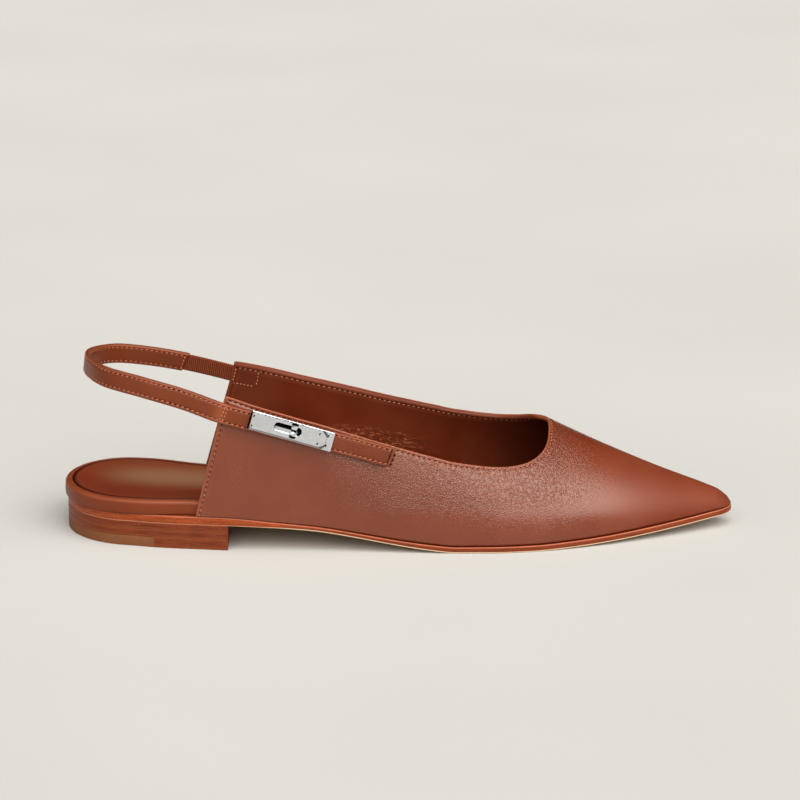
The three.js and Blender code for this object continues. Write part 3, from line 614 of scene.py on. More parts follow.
class Tree:
    """Short hand for the nodes of one material, or of the world."""

    def __init__(self, name: str, owner: bpy.types.World | None = None) -> None:
        """Starts an empty tree of a new material, or of the owner."""
        self.material = owner or bpy.data.materials.new(name)
        self.material.use_nodes = True
        self.nodes = self.material.node_tree.nodes
        self.links = self.material.node_tree.links
        self.nodes.clear()

    def node(self, kind: str, **settings: object) -> bpy.types.Node:
        """Adds a node with its settings."""
        made = self.nodes.new(kind)
        for key, value in settings.items():
            setattr(made, key, value)
        return made

    def put(self, socket: bpy.types.NodeSocket, value: object) -> None:
        """Links a socket's source to a socket, or sets its value."""
        if isinstance(value, bpy.types.NodeSocket):
            self.links.new(value, socket)
        else:
            socket.default_value = value

    def math(self, operation: str, a: object, b: object = 0.0, c: object = 0.0, clamp: bool = False) -> bpy.types.NodeSocket:
        """One arithmetic step on up to three values."""
        made = self.node("ShaderNodeMath", operation=operation, use_clamp=clamp)
        for socket, value in zip(made.inputs, (a, b, c)):
            self.put(socket, value)
        return made.outputs[0]

    def mix(self, share: object, a: object, b: object, blend: str = "MIX") -> bpy.types.NodeSocket:
        """Mix of two colours."""
        made = self.node("ShaderNodeMix", data_type="RGBA", blend_type=blend)
        for index, value in ((0, share), (6, a), (7, b)):
            self.put(made.inputs[index], value)
        return made.outputs[2]

    def step(self, value: object, low: float, high: float, out: tuple[float, float] = (0.0, 1.0)) -> bpy.types.NodeSocket:
        """Soft step of a value between low and high."""
        made = self.node("ShaderNodeMapRange", interpolation_type="SMOOTHSTEP")
        for socket, given in zip(made.inputs, (value, low, high, *out)):
            self.put(socket, given)
        return made.outputs[0]

    def place(self, stretch: tuple[float, float, float] = (1.0, 1.0, 1.0)) -> bpy.types.NodeSocket:
        """Object coordinates in millimetres, stretched along their axes."""
        coordinates = self.node("ShaderNodeTexCoord")
        mapping = self.node("ShaderNodeMapping")
        self.put(mapping.inputs["Vector"], coordinates.outputs["Object"])
        mapping.inputs["Scale"].default_value = tuple(1000.0 * s for s in stretch)
        return mapping.outputs[0]

    def noise(self, place: object, scale: float, detail: float = 2.0, rough: float = 0.5) -> bpy.types.NodeSocket:
        """Cloudy noise from 0 to 1, scale being its cells in a millimetre."""
        made = self.node("ShaderNodeTexNoise")
        self.put(made.inputs["Vector"], place)
        made.inputs["Scale"].default_value = scale
        made.inputs["Detail"].default_value = detail
        made.inputs["Roughness"].default_value = rough
        return made.outputs["Fac"]

    def cells(self, place: object, scale: float, feature: str = "F1") -> bpy.types.NodeSocket:
        """Distance pattern of scattered cells."""
        made = self.node("ShaderNodeTexVoronoi", feature=feature)
        self.put(made.inputs["Vector"], place)
        made.inputs["Scale"].default_value = scale
        return made.outputs["Distance"]

    def bump(self, height: object, depth: float, strength: float = 1.0, under: object = None) -> bpy.types.NodeSocket:
        """Bump of this depth in millimetres for a height from 0 to 1."""
        made = self.node("ShaderNodeBump")
        made.inputs["Strength"].default_value = strength
        made.inputs["Distance"].default_value = depth * METRES
        self.put(made.inputs["Height"], height)
        if under is not None:
            self.put(made.inputs["Normal"], under)
        return made.outputs[0]

    def tone(self) -> bpy.types.NodeSocket:
        """Lightness kept on the piece's points."""
        return self.node("ShaderNodeAttribute", attribute_name="tone").outputs["Fac"]

    def seam(self) -> tuple[bpy.types.NodeSocket, bpy.types.NodeSocket]:
        """Run along the nearest seam and distance from it, in millimetres."""
        split = self.node("ShaderNodeSeparateXYZ")
        self.put(split.inputs[0], self.node("ShaderNodeUVMap", uv_map="seam").outputs[0])
        return self.math("MULTIPLY", split.outputs[0], 10.0), self.math("MULTIPLY", split.outputs[1], 10.0)

    def holes(self, stitch: Stitch) -> bpy.types.NodeSocket:
        """1 in the dark dashes of the row, ellipses that lie between its threads, and 0 beyond them."""
        run, away = self.seam()
        turn = self.math("FRACT", self.math("DIVIDE", run, stitch.pitch))
        near = self.math("MULTIPLY", self.math("MINIMUM", turn, self.math("SUBTRACT", 1.0, turn)), stitch.pitch / stitch.dash)
        wide = self.math("DIVIDE", away, stitch.hole)
        reach = self.math("SQRT", self.math("ADD", self.math("MULTIPLY", near, near), self.math("MULTIPLY", wide, wide)))
        return self.step(reach, 0.65, 1.2, (1.0, 0.0))

    def surface(self, colour: object, rough: object, normal: object = None, **fixed: float | tuple) -> bpy.types.Material:
        """Ends the material in a shader.

        Args:
            colour: Base colour.
            rough: Roughness.
            normal: Bumped normal, or none.
            fixed: Values set on the shader's own sockets, by socket name with spaces as underscores.

        Returns:
            The material.
        """
        shader = self.node("ShaderNodeBsdfPrincipled")
        self.put(shader.inputs["Base Color"], colour)
        self.put(shader.inputs["Roughness"], rough)
        if normal is not None:
            self.put(shader.inputs["Normal"], normal)
        for name, value in fixed.items():
            self.put(shader.inputs[name.replace("_", " ")], value)
        out = self.node("ShaderNodeOutputMaterial")
        self.links.new(shader.outputs[0], out.inputs[0])
        return self.material


def colour(red: int, green: int, blue: int) -> tuple[float, float, float, float]:
    """Linear colour from one written as it looks on a screen, 0 to 255."""
    parts = [c / 255 for c in (red, green, blue)]
    return (*[c / 12.92 if c <= 0.04045 else ((c + 0.055) / 1.055) ** 2.4 for c in parts], 1.0)


WARM = (1.0, 0.88, 0.78, 1.0)


@dataclass(frozen=True)
class Leather:
    """Grained or smooth leather, with holes along its seams.

    Attributes:
        name: Name of the finish.
        base: Colour of the leather.
        deep: Colour in its pores and holes, and of the painted shade where the tone is below nought and in the lining
            towards the toe.
        light: Colour of its lighter drifts and rubbed places, and of the painted highlights laid on by the tone and on
            the lining's crinkle crests.
        grain: Width of the grain's cells, in millimetres.
        relief: Depth of the grain, in millimetres.
        rough: Roughness.
        gloss: Weight of the thin wax coat.
        shine: Strength of the leather's own reflection.
        cloudy: Share of the lighter colour in its slow drifts.
        crinkle: Depth of the fine crinkles at the waist of the lining.
        stitch: Sewing whose holes show, or none.
    """

    name: str
    base: tuple[float, float, float, float]
    deep: tuple[float, float, float, float]
    light: tuple[float, float, float, float]
    grain: float = 0.75
    relief: float = 0.05
    rough: float = 0.46
    gloss: float = 0.12
    shine: float = 0.2
    cloudy: float = 0.1
    crinkle: float = 0.0
    stitch: Stitch | None = None

    def build(self) -> bpy.types.Material:
        """Builds the material: pebbled cells bent by a little noise, pores darker, and painted highlight and shade from
        the tone.
        """
        tree = Tree(self.name)
        place = tree.place()
        split = tree.node("ShaderNodeSeparateXYZ")
        tree.put(split.inputs[0], place)
        ball = tree.math("MULTIPLY", tree.step(split.outputs[0], 50.0, 112.0), tree.step(split.outputs[0], 158.0, 200.0, (1.0, 0.1)))
        drawn_tight = tree.math("MULTIPLY", ball, tree.step(split.outputs[2], 12.0, 22.0, (0.35, 1.0)))
        wander = tree.noise(place, 0.9, 3.0)
        bent = tree.node("ShaderNodeVectorMath", operation="ADD")
        tree.put(bent.inputs[0], place)
        tree.put(bent.inputs[1], wander)
        pebble = tree.cells(bent.outputs[0], 1.0 / self.grain, "DISTANCE_TO_EDGE")
        pebble = tree.step(pebble, 0.0, 0.4)
        fine = tree.noise(place, 3.2, 3.0, 0.6)
        height = tree.math("ADD", tree.math("MULTIPLY", pebble, 0.75), tree.math("MULTIPLY", fine, 0.35))
        height = tree.math("MULTIPLY", height, drawn_tight)
        cloud = tree.noise(place, 0.045, 2.0)
        body = tree.mix(tree.step(cloud, 0.3, 0.7, (0.0, self.cloudy)), self.base, self.light)
        body = tree.mix(tree.math("MULTIPLY", tree.step(pebble, 0.0, 0.6, (0.26, 0.0)), drawn_tight), body, self.deep)
        # The tone paints highlight into the colour above nought and shade below it.
        tone = tree.tone()
        body = tree.mix(tree.math("MAXIMUM", tone, 0.0, clamp=True), body, self.light)
        body = tree.mix(tree.math("MULTIPLY", tone, -1.0, clamp=True), body, self.deep)
        shine = tree.step(split.outputs[0], 166.0, 218.0, (self.shine, 0.45 * self.shine))
        rough = tree.math("ADD", tree.step(cloud, 0.2, 0.8, (self.rough - 0.03, self.rough + 0.04)), tree.math("MULTIPLY", pebble, -0.04))
        rough = tree.math("ADD", rough, tree.step(split.outputs[0], 172.0, 212.0, (0.0, 0.4)))
        normal = tree.bump(height, self.relief, 1.0)
        if self.crinkle:
            fold = self.crinkles(tree)
            # The crinkle crests are lighter: a painted highlight.
            body = tree.mix(tree.math("MULTIPLY", fold, 0.8), body, self.light)
            # The lining grows darker towards the toe, deep inside the shoe: painted shade.
            body = tree.mix(tree.step(split.outputs[0], 118.0, 176.0, (0.0, 0.8)), body, self.deep)
            normal = tree.bump(fold, self.crinkle, 1.0, normal)
        if self.stitch is not None:
            hole = tree.holes(self.stitch)
            # The holes are darker than the leather: painted shade inside them.
            body = tree.mix(hole, body, colour(70, 22, 8))
            rough = tree.math("ADD", rough, tree.math("MULTIPLY", hole, 0.55))
            normal = tree.bump(tree.math("SUBTRACT", 1.0, hole), 0.3, 0.9, normal)
        return tree.surface(body, rough, normal, Coat_Weight=self.gloss, Coat_Roughness=0.25, Specular_IOR_Level=shine, Specular_Tint=WARM)

    def crinkles(self, tree: Tree) -> bpy.types.NodeSocket:
        """Fine crinkles at the waist: noise drawn out along the folds, its middle values made crests,
        within an ellipse that slopes down towards the toe.

        Args:
            tree: Material that they belong to.

        Returns:
            Height from 0 to 1.
        """
        local = tree.node("ShaderNodeMapping", vector_type="TEXTURE")
        tree.put(local.inputs["Vector"], tree.place())
        local.inputs["Location"].default_value = (94.0, 0.0, 30.0)
        local.inputs["Rotation"].default_value = (0.0, math.radians(16.5), 0.0)
        drawn = tree.node("ShaderNodeVectorMath", operation="MULTIPLY")
        tree.put(drawn.inputs[0], local.outputs[0])
        drawn.inputs[1].default_value = (0.24, 0.24, 0.95)
        crest = tree.math("ABSOLUTE", tree.math("SUBTRACT", tree.noise(drawn.outputs[0], 1.0, 1.0, 0.4), 0.5))
        bounds = tree.node("ShaderNodeVectorMath", operation="MULTIPLY")
        tree.put(bounds.inputs[0], local.outputs[0])
        bounds.inputs[1].default_value = (1 / 22.0, 0.0, 1 / 5.2)
        reach = tree.node("ShaderNodeVectorMath", operation="LENGTH")
        tree.put(reach.inputs[0], bounds.outputs[0])
        inside = tree.step(reach.outputs["Value"], 0.45, 1.0, (1.0, 0.0))
        return tree.math("MULTIPLY", tree.step(crest, 0.0, 0.06, (1.0, 0.0)), inside)


@dataclass(frozen=True)
class EdgeLeather:
    """Cut edge of sole leather, dyed and waxed: fibres in flat streaks with specks, and a bevel.

    Attributes:
        name: Name of the finish.
        base: Colour of the dye.
        dark: Colour of the dark streaks.
        light: Colour where the dye is thin, also laid on by the tone as a painted highlight along the top of the
            outsole's edge.
        streak: Contrast of the streaks.
    """

    name: str
    base: tuple[float, float, float, float]
    dark: tuple[float, float, float, float]
    light: tuple[float, float, float, float]
    streak: float = 0.6

    def build(self) -> bpy.types.Material:
        """Builds the material: noise drawn out along the edge, with small specks of bare fibre."""
        tree = Tree(self.name)
        drawn = tree.noise(tree.place((0.12, 0.12, 1.6)), 1.0, 4.0, 0.6)
        speck = tree.noise(tree.place((1.0, 1.0, 1.3)), 1.6, 3.0, 0.7)
        body = tree.mix(tree.step(drawn, 0.38, 0.68, (0.0, self.streak)), self.base, self.dark)
        body = tree.mix(tree.step(speck, 0.56, 0.72, (0.0, 0.75)), body, self.light)
        tone = tree.tone()
        body = tree.mix(tree.math("MAXIMUM", tone, 0.0, clamp=True), body, self.light)
        body = tree.mix(tree.math("MULTIPLY", tone, -1.0, clamp=True), body, self.dark)
        height = tree.math("ADD", tree.math("MULTIPLY", drawn, 0.7), tree.math("MULTIPLY", speck, 0.4))
        return tree.surface(body, tree.step(speck, 0.3, 0.7, (0.34, 0.5)), tree.bump(height, 0.08, 0.7), Specular_IOR_Level=0.24, Specular_Tint=WARM)


@dataclass(frozen=True)
class Rubber:
    """Smooth brown rubber of the top piece."""

    name: str = "top_piece_rubber"
    base: tuple[float, float, float, float] = colour(108, 61, 31)

    def build(self) -> bpy.types.Material:
        """Builds the material: even colour with faint dust and a fine moulded grain."""
        tree = Tree(self.name)
        place = tree.place()
        dust = tree.noise(place, 0.25, 3.0)
        fine = tree.noise(place, 5.0, 2.0)
        body = tree.mix(tree.step(dust, 0.35, 0.75, (0.0, 0.4)), self.base, colour(120, 76, 48))
        body = tree.mix(tree.math("MULTIPLY", tree.tone(), -1.0, clamp=True), body, colour(60, 36, 22))
        return tree.surface(body, tree.step(dust, 0.2, 0.8, (0.55, 0.68)), tree.bump(fine, 0.015, 0.6), Specular_IOR_Level=0.25)


@dataclass(frozen=True)
class Weave:
    """Ribbed woven elastic."""

    name: str = "elastic_weave"
    base: tuple[float, float, float, float] = colour(126, 58, 30)
    dark: tuple[float, float, float, float] = colour(62, 22, 9)
    rib: float = 0.8

    def build(self) -> bpy.types.Material:
        """Builds the material: ribs across the band with rubber threads between, from its own run."""
        tree = Tree(self.name)
        run, across = tree.seam()
        wave = tree.math("SINE", tree.math("MULTIPLY", run, 2 * math.pi / self.rib))
        weft = tree.math("SINE", tree.math("MULTIPLY", across, 2 * math.pi / 0.55))
        knit = tree.math("ADD", tree.math("MULTIPLY", wave, 0.34), tree.math("MULTIPLY", weft, 0.16))
        height = tree.math("ADD", knit, 0.5)
        fuzz = tree.noise(tree.place(), 2.2, 4.0, 0.7)
        body = tree.mix(tree.step(height, 0.15, 0.8), self.dark, self.base)
        body = tree.mix(tree.step(fuzz, 0.5, 0.8, (0.0, 0.7)), body, colour(120, 72, 44))
        return tree.surface(body, 0.82, tree.bump(height, 0.16, 0.8), Specular_IOR_Level=0.15)


@dataclass(frozen=True)
class Plating:
    """Polished palladium-coloured plating of the lock."""

    name: str = "lock_plating"
    base: tuple[float, float, float, float] = colour(230, 232, 236)
    rough: float = 0.18

    def build(self) -> bpy.types.Material:
        """Builds the material: metal with a faint brushed waviness and fine marks of wear, near black where the tone
        paints shade and dark reflections.
        """
        tree = Tree(self.name)
        place = tree.place((1.0, 1.0, 1.0))
        brush = tree.noise(tree.place((0.3, 1.4, 1.4)), 1.0, 2.0, 0.5)
        wear = tree.noise(place, 0.35, 3.0)
        body = tree.mix(tree.step(wear, 0.4, 0.75, (0.0, 0.18)), self.base, colour(190, 188, 184))
        tone = tree.tone()
        body = tree.mix(tree.math("MULTIPLY", tone, -1.0, clamp=True), body, colour(8, 7, 7))
        return tree.surface(body, tree.step(brush, 0.25, 0.75, (self.rough - 0.02, self.rough + 0.02)), tree.bump(brush, 0.0004, 0.3), Metallic=1.0)


@dataclass(frozen=True)
class Thread:
    """Waxed sewing thread."""

    name: str
    base: tuple[float, float, float, float]
    shine: float = 0.3

    def build(self) -> bpy.types.Material:
        """Builds the material: twisted fibres lighter and darker."""
        tree = Tree(self.name)
        twist = tree.noise(tree.place((3.0, 3.0, 3.0)), 1.5, 2.0)
        dark = tuple(0.55 * c for c in self.base[:3]) + (1.0,)
        body = tree.mix(tree.step(twist, 0.35, 0.65), dark, self.base)
        return tree.surface(body, 0.6, tree.bump(twist, 0.04, 0.6), Specular_IOR_Level=self.shine, Specular_Tint=WARM)


@dataclass
class Finishes:
    """Every finish of the shoe, built once.

    Attributes:
        upper: Grained leather of the outer skin.
        lining: Smooth leather inside.
        strap: Smoother leather of the strap.
        cover: Leather over the footbed's edge.
        sock: Leather of the sock.
        sole: Edge of the outsole.
        bottom: Underside of the outsole.
        stack: Edge of the heel's leather layers.
        rubber: Rubber of the top piece.
        elastic: Woven elastic.
        metal: Plating of the lock.
        thread: Thread on the leather.
        pale_thread: Thread on the lining.
        shade_dark_thread: Thread along the welt's front, coloured dark as painted shade.
    """

    seam: Stitch = Stitch()
    upper: bpy.types.Material = field(init=False)

    def __post_init__(self) -> None:
        """Builds the materials."""
        # light and folded are the lighter colours of the leathers and of the lining: of their drifts, and of the
        # painted highlights that the tone and the crinkle crests lay on.
        tan, dark, light = colour(100, 35, 9), colour(50, 14, 5), colour(150, 80, 50)
        lining, deep, folded = colour(83, 29, 10), colour(44, 11, 3), colour(160, 84, 54)
        # Khaki of the painted reflection on the sock, also the colour of its faint drifts.
        khaki_reflection = colour(124, 96, 68)
        self.upper = Leather("upper_leather", tan, dark, light, 0.8, 0.2, 0.25, 0.0, 0.84, 0.08, 0.0, self.seam).build()
        self.lining = Leather("lining_leather", lining, deep, folded, 0.5, 0.012, 0.4, 0.0, 0.16, 0.1, 0.5, self.seam).build()
        self.strap = Leather("strap_leather", colour(96, 40, 16), dark, light, 0.8, 0.1, 0.4, 0.0, 0.26, 0.08, 0.0, self.seam).build()
        self.cover = Leather("cover_leather", colour(100, 41, 19), dark, light, 0.6, 0.012, 0.4, 0.0, 0.22).build()
        self.sock = Leather("sock_leather", colour(98, 35, 13), dark, khaki_reflection, 0.5, 0.008, 0.4, 0.0, 0.2, 0.05).build()
        self.sole = EdgeLeather("sole_edge", colour(140, 60, 20), colour(84, 30, 14), colour(184, 114, 88)).build()
        self.bottom = EdgeLeather("sole_bottom", colour(206, 162, 118), colour(184, 136, 94), colour(236, 206, 170), 0.3).build()
        self.stack = EdgeLeather("stacked_leather", colour(107, 43, 19), colour(66, 22, 8), colour(142, 76, 38), 0.7).build()
        self.rubber = Rubber().build()
        self.elastic = Weave().build()
        self.metal = Plating().build()
        self.thread = Thread("sewing_thread", colour(180, 104, 74)).build()
        self.pale_thread = Thread("pale_thread", colour(196, 136, 108)).build()
        # The welt's thread is near black: painted shade of its stitch holes.
        self.shade_dark_thread = Thread("shade_dark_thread", colour(52, 14, 6), 0.05).build()


@dataclass
class Upper:
    """The upper: one wall with its folded topline, back edges, lining and seams.

    Attributes:
        finishes: Materials of the shoe.
        seam: Sewing along the edges.
        edge: Radius over which the topline and the back edges are rolled.
        inset: Seam's distance from the edge.
        fold: Rise of the folded band between the edge and the seam.
        groove: Depth that the seam pulls into the leather.
        tuck: Radius over which the foot of the upper draws in at the sole.
        rows: Rows of the grid between the folded band and the foot.
    """

    finishes: Finishes
    seam: Stitch = Stitch()
    edge: float = 0.5
    inset: float = 1.6
    fold: float = 0.14
    groove: float = 0.2
    tuck: float = 0.8
    rows: int = 40
    back_edge: float = 0.2
    near: tuple[float, ...] = (0.5, 0.68, 0.86, 1.04, 1.22, 1.4, 1.6, 1.8, 2.0, 2.2, 2.5, 2.9, 3.5, 4.5, 5.6)
    heights: tuple[float, ...] = (0.8, 0.55, 0.35, 0.2, 0.08, 0.0)
    feet: Table = Table(
        ("run", "along"),
        ((0, 0.2), (0.2, 0.312), (0.5, 0.5), (0.74, 0.645), (0.85, 0.738), (0.925, 0.855), (0.97, 0.955), (1, 1)),
    )

    def topline(self, side: Side) -> tuple[np.ndarray, np.ndarray, np.ndarray]:
        """Topline as places, arcs and run, through its table's rows by a run in which 1.6 units of arc
        weigh as much as one shoe length."""
        rows = np.array(TOPLINE[side])
        mark = np.concatenate([[0], np.cumsum(np.hypot(np.diff(rows[:, 0]), np.diff(rows[:, 1]) / 1.6))])
        at = np.linspace(0, mark[-1], 3000)
        x = hermite(mark, rows[:, 0], at) * LAST.length
        arc = hermite(mark, rows[:, 1], at)
        return x, arc, run_along(LAST.point(x, side, arc))

    def places(self, side: Side) -> tuple[np.ndarray, np.ndarray, np.ndarray]:
        """Grid of places and arcs. A column starts square to the topline, leans with the back edge at
        the back, and ends at its foot; the last column runs along the ridge to the tip. Below the
        folded band the arc falls with one less v to a power that grows towards the ridge.

        Args:
            side: Outer or inner half.

        Returns:
            Places and arcs, a row for each distance from the topline, and each row's share of the way down.
        """
        x, arc, run = self.topline(side)
        whole = run[-1]
        near = np.array(self.near)
        at = np.concatenate([near, np.arange(near[-1] + 0.7, whole - 24, 0.7), np.linspace(whole - 24, whole, 56)])
        tx, ta = np.interp(at, run, x), np.interp(at, run, arc)
        step = 1e-3
        top = LAST.point(tx, side, ta)
        by_x = (LAST.point(tx + 0.05, side, ta) - LAST.point(tx - 0.05, side, ta)) / 0.1
        by_arc = (top - LAST.point(tx, side, ta - step)) / step
        along = unit(np.gradient(top, at, axis=0))
        down = unit(np.cross(unit(np.cross(by_x, by_arc)), along))
        down *= -np.sign((down * by_arc).sum(-1)[len(at) // 3])
        corner = LAST.point(np.array([self.back_edge * LAST.length]), side, np.array([0.0]))
        back = unit(corner - top[:1])
        down = unit(lerp(back, down, smooth(at, 0, 18)[:, None]))
        down = unit(lerp(unit(by_x), down, smooth(whole - at, 0, 6)[:, None]))
        xx, xa, aa = ((p * q).sum(-1) for p, q in ((by_x, by_x), (by_x, by_arc), (by_arc, by_arc)))
        dx, da = (down * by_x).sum(-1), (down * by_arc).sum(-1)
        grow = np.maximum(xx * aa - xa**2, 1e-9)
        slope_x, slope_a = (dx * aa - da * xa) / grow, (xx * da - xa * dx) / grow
        slope_a[-1], slope_x[-1] = 0.0, 1 / np.sqrt(xx[-1])
        d = near[:, None]
        band_x = tx + slope_x * d
        band_a = np.clip(ta + slope_a * d, 0, 1)
        band_a[:, -1] = 1.0
        foot = self.feet.at("along", at / whole) * LAST.length
        foot[-1] = LAST.length
        forward = np.clip((at / whole - 0.55) / 0.45, 0, 1) ** 2
        power = 1 / np.maximum(1 - forward, 1e-3) ** 1.2
        rise = LAST.ridge_rise(foot) - LAST.gap
        full = LAST.fullness(foot, side)
        low = np.arcsin(np.clip(np.array(self.heights)[:, None] / rise, 0, 1) ** (full / 2)) / (np.pi / 2)
        v = np.linspace(0, 1, self.rows + 1)[1:, None]
        a_main = low[0] + (band_a[-1] - low[0]) * (1 - v**power)
        a = np.concatenate([a_main, low[1:]])
        v = np.concatenate([v, np.ones((len(self.heights) - 1, 1))])
        ratio = (np.sin(a * np.pi / 2) / np.maximum(np.sin(band_a[-1] * np.pi / 2), 1e-6)) ** (2 / LAST.fullness(tx, side))
        x_low = foot + (band_x[-1] - foot) * ((1 - forward) * ratio + forward * (1 - v))
        down_share = np.concatenate([np.zeros(len(near)), v[:, 0]])
        return np.concatenate([band_x, x_low]), np.concatenate([band_a, a]), down_share

    def skins(self, side: Side) -> tuple[np.ndarray, np.ndarray]:
        """Outer and inner skin of one half. The inner one is read further forward near the topline, so
        that the wall there is cut square to the leather."""
        x, arc, down = self.places(side)
        outer = LAST.point(x, side, arc)
        k = LAST.toe_wall / (LAST.length - LAST.breast)
        square = np.where(x > LAST.breast, (x - k * LAST.breast) / (1 - k), x)
        inner_x = np.minimum(LAST.length, lerp(square, x, down[:, None]))
        inner = LAST.point(inner_x, side, arc, LAST.wall)
        rise = np.clip(outer[..., 2] - LAST.sole_top(outer[..., 0]) - LAST.gap, 0, self.tuck)
        inward = self.tuck * (1 - np.sqrt(1 - (1 - rise / self.tuck) ** 2))
        ground = LAST.edge(np.clip(x, 0, LAST.length), side, 1.0) - LAST.edge(np.clip(x, 0, LAST.length), side, 0.0)
        outer[..., :2] -= ground * inward[..., None]
        outer[..., 2] -= (LAST.gap - 0.03) * (1 - rise / self.tuck)
        return outer, inner

    def facing(self, surface: np.ndarray, side: Side, out: float) -> np.ndarray:
        """Normals of a grid: the cross product of its two directions, turned outwards or inwards."""
        normal = unit(np.cross(np.gradient(surface, axis=1), np.gradient(surface, axis=0)))
        middle = normal[surface.shape[0] // 2, surface.shape[1] // 3]
        return normal * np.sign(middle[1]) * side.value * out

    def seam_line(self, surface: np.ndarray) -> np.ndarray:
        """Line of the seam on a skin: up along the back edge, then along the topline to the throat."""
        i = self.near.index(self.inset)
        return np.concatenate([surface[: i - 1 : -1, i], surface[i, i + 1 :]])

    def relief(self, surface: np.ndarray, place: np.ndarray) -> np.ndarray:
        """Height of the folded band and of the seam's groove. The band is a low arch between edge and
        seam, the groove a bell curve across the seam, deeper at each hole."""
        i = self.near.index(self.inset)
        inside = np.zeros(surface.shape[:2], bool)
        inside[:i] = True
        inside[:, :i] = True
        run, away = place[..., 0], place[..., 1]
        arch = np.where(inside, 1 - np.clip(np.abs(away / self.inset - 0.45) / 0.55, 0, 1) ** 2, 0)
        pull = np.exp(-((away / 0.42) ** 2)) * (1 + 0.35 * np.cos(2 * np.pi * run / self.seam.pitch))
        puff = 0.05 * np.exp(-(((away - 1.3) / 0.7) ** 2)) * ~inside
        return self.fold * arch - self.groove * pull + puff

    def crinkles(self, surface: np.ndarray) -> np.ndarray:
        """Creases of the lining at the waist, on the inner side: five wavy ridges that run down towards
        the toe, each a bell curve across and fading at both ends."""
        x, z = surface[..., 0], surface[..., 2]
        height = np.zeros_like(x)
        for start, stop, drop, size in ((104, 126, 0.6, 0.24), (109, 136, -0.9, 0.3), (116, 147, -2.3, 0.3), (124, 151, 1.6, 0.22), (130, 154, -3.9, 0.24)):
            middle = 36.5 - 0.29 * (x - 106) + drop + 0.5 * np.sin(x * 1.15 + drop * 3) + 0.3 * np.sin(x * 2.3 + drop)
            ends = smooth(x, start, start + 6) * (1 - smooth(x, stop - 7, stop))
            height += size * ends * np.exp(-(((z - middle) / 0.62) ** 2))
        return height

    def build(self) -> None:
        """Builds the wall, its seams and the threads on both faces."""
        shell, out_thread, in_thread = Shell(), Shell(), Shell()
        for side in Side:
            outer, inner = self.skins(side)
            dressed = []
            for number, surface, way, threads in ((0, outer, 1.0, out_thread), (1, inner, -1.0, in_thread)):
                normal = self.facing(surface, side, way)
                line = self.seam_line(surface)
                close = np.full((*surface.shape[:2], 2), 99.0)
                reach = len(self.near) + 2
                close[:reach] = nearest_on(line, surface[:reach])
                close[:, :reach] = nearest_on(line, surface[:, :reach])
                height = self.relief(surface, close)
                if number == 1 and side is Side.INNER:
                    height = height + self.crinkles(surface)
                moved = surface + normal * height[..., None]
                i = self.near.index(self.inset)
                # The raised folded band is lighter where it rises: a painted highlight.
                tone = 0.2 * np.clip(height / self.fold, 0, 1) * (close[..., 1] < self.inset)
                if number == 0:
                    self.seam.sew(threads, self.seam_line(moved), self.seam_line(normal))
                else:
                    close[i + 2 :] = 99.0
                    close[:, : i + 2, 0] = 99.0
                    self.seam.sew(threads, moved[i, i + 1 :], normal[i, i + 1 :])
                    if side is Side.INNER:
                        self.sew_box(threads, moved, normal)
                shell.grid(moved, finish=number, seam=close, tone=tone)
                dressed.append(moved)
            self.close(shell, *dressed)
        wall = shell.piece("upper_leather_wall", [self.finishes.upper, self.finishes.lining, self.finishes.cover], 60)
        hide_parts("upper")
        out_thread.piece("upper_stitches", [self.finishes.thread])
        in_thread.piece("lining_stitches", [self.finishes.pale_thread])

    def sew_box(self, threads: Shell, surface: np.ndarray, normal: np.ndarray) -> None:
        """Sews the box that holds the elastic: down from the topline, and back to the edge below it.

        Args:
            threads: Where the threads go.
            surface: Skin of the lining.
            normal: Its normals.
        """
        column = int(np.abs(surface[0, :, 0] - 76.5).argmin())
        first = self.near.index(self.inset)
        depth = run_along(surface[first:, column])
        low = first + int((depth > 6.6).argmax())
        start = self.near.index(1.22)
        down = slice(first + 1, low)
        small = Stitch(pitch=1.5, length=1.0, thickness=0.38)
        small.sew(threads, surface[down, column], normal[down, column])
        small.sew(threads, surface[low, start:column], normal[low, start:column])
        small.sew(threads, surface[down, start], normal[down, start])

    def close(self, shell: Shell, outer: np.ndarray, inner: np.ndarray) -> None:
        """Rolls the edge over between the two skins as half an ellipse, and closes the foot.

        Args:
            shell: Where the surfaces go.
            outer: Points of the outer skin.
            inner: Points of the inner skin.
        """

        def rim(surface: np.ndarray) -> tuple[np.ndarray, np.ndarray]:
            """Boundary up the back and along the topline, with the way off the leather at each point."""
            back, top = surface[::-1, 0], surface[0]
            off_back = unit(surface[::-1, 0] - surface[::-1, 1])
            off_top = unit(surface[0] - surface[1])
            turn = unit(lerp(off_back[-1], off_top[0], np.array([0.25, 0.5, 0.75])[:, None]))
            line = np.concatenate([back[:-1], back[-1:], np.repeat(top[:1], 3, 0), top])
            return line, np.concatenate([off_back, turn, off_top])

        (a, off), (b, off_b) = rim(outer), rim(inner)
        off = unit(off + off_b)
        phase = np.linspace(0, np.pi, 9)[:, None, None]
        rolled = (a + b) / 2 + (a - b) / 2 * np.cos(phase) + self.edge * off * np.sin(phase)
        turn = np.cos(phase[..., 0]) + 0 * rolled[..., 0]
        # The roll is lighter on its outer half and darker on its inner half, as painted highlight and shade, and pale
        # at the throat, as a painted reflection.
        throat = smooth(rolled[..., 0], 186, 191) * (1 - smooth(np.abs(turn), 0.6, 0.95))
        shell.grid(rolled, finish=2, tone=lerp(lerp(-0.25, 0.7, smooth(turn, 0.0, 0.7)), 1.0, throat))
        shell.grid(np.stack([outer[-1], inner[-1]]), finish=1)
        shell.cap(rolled[:, 0])


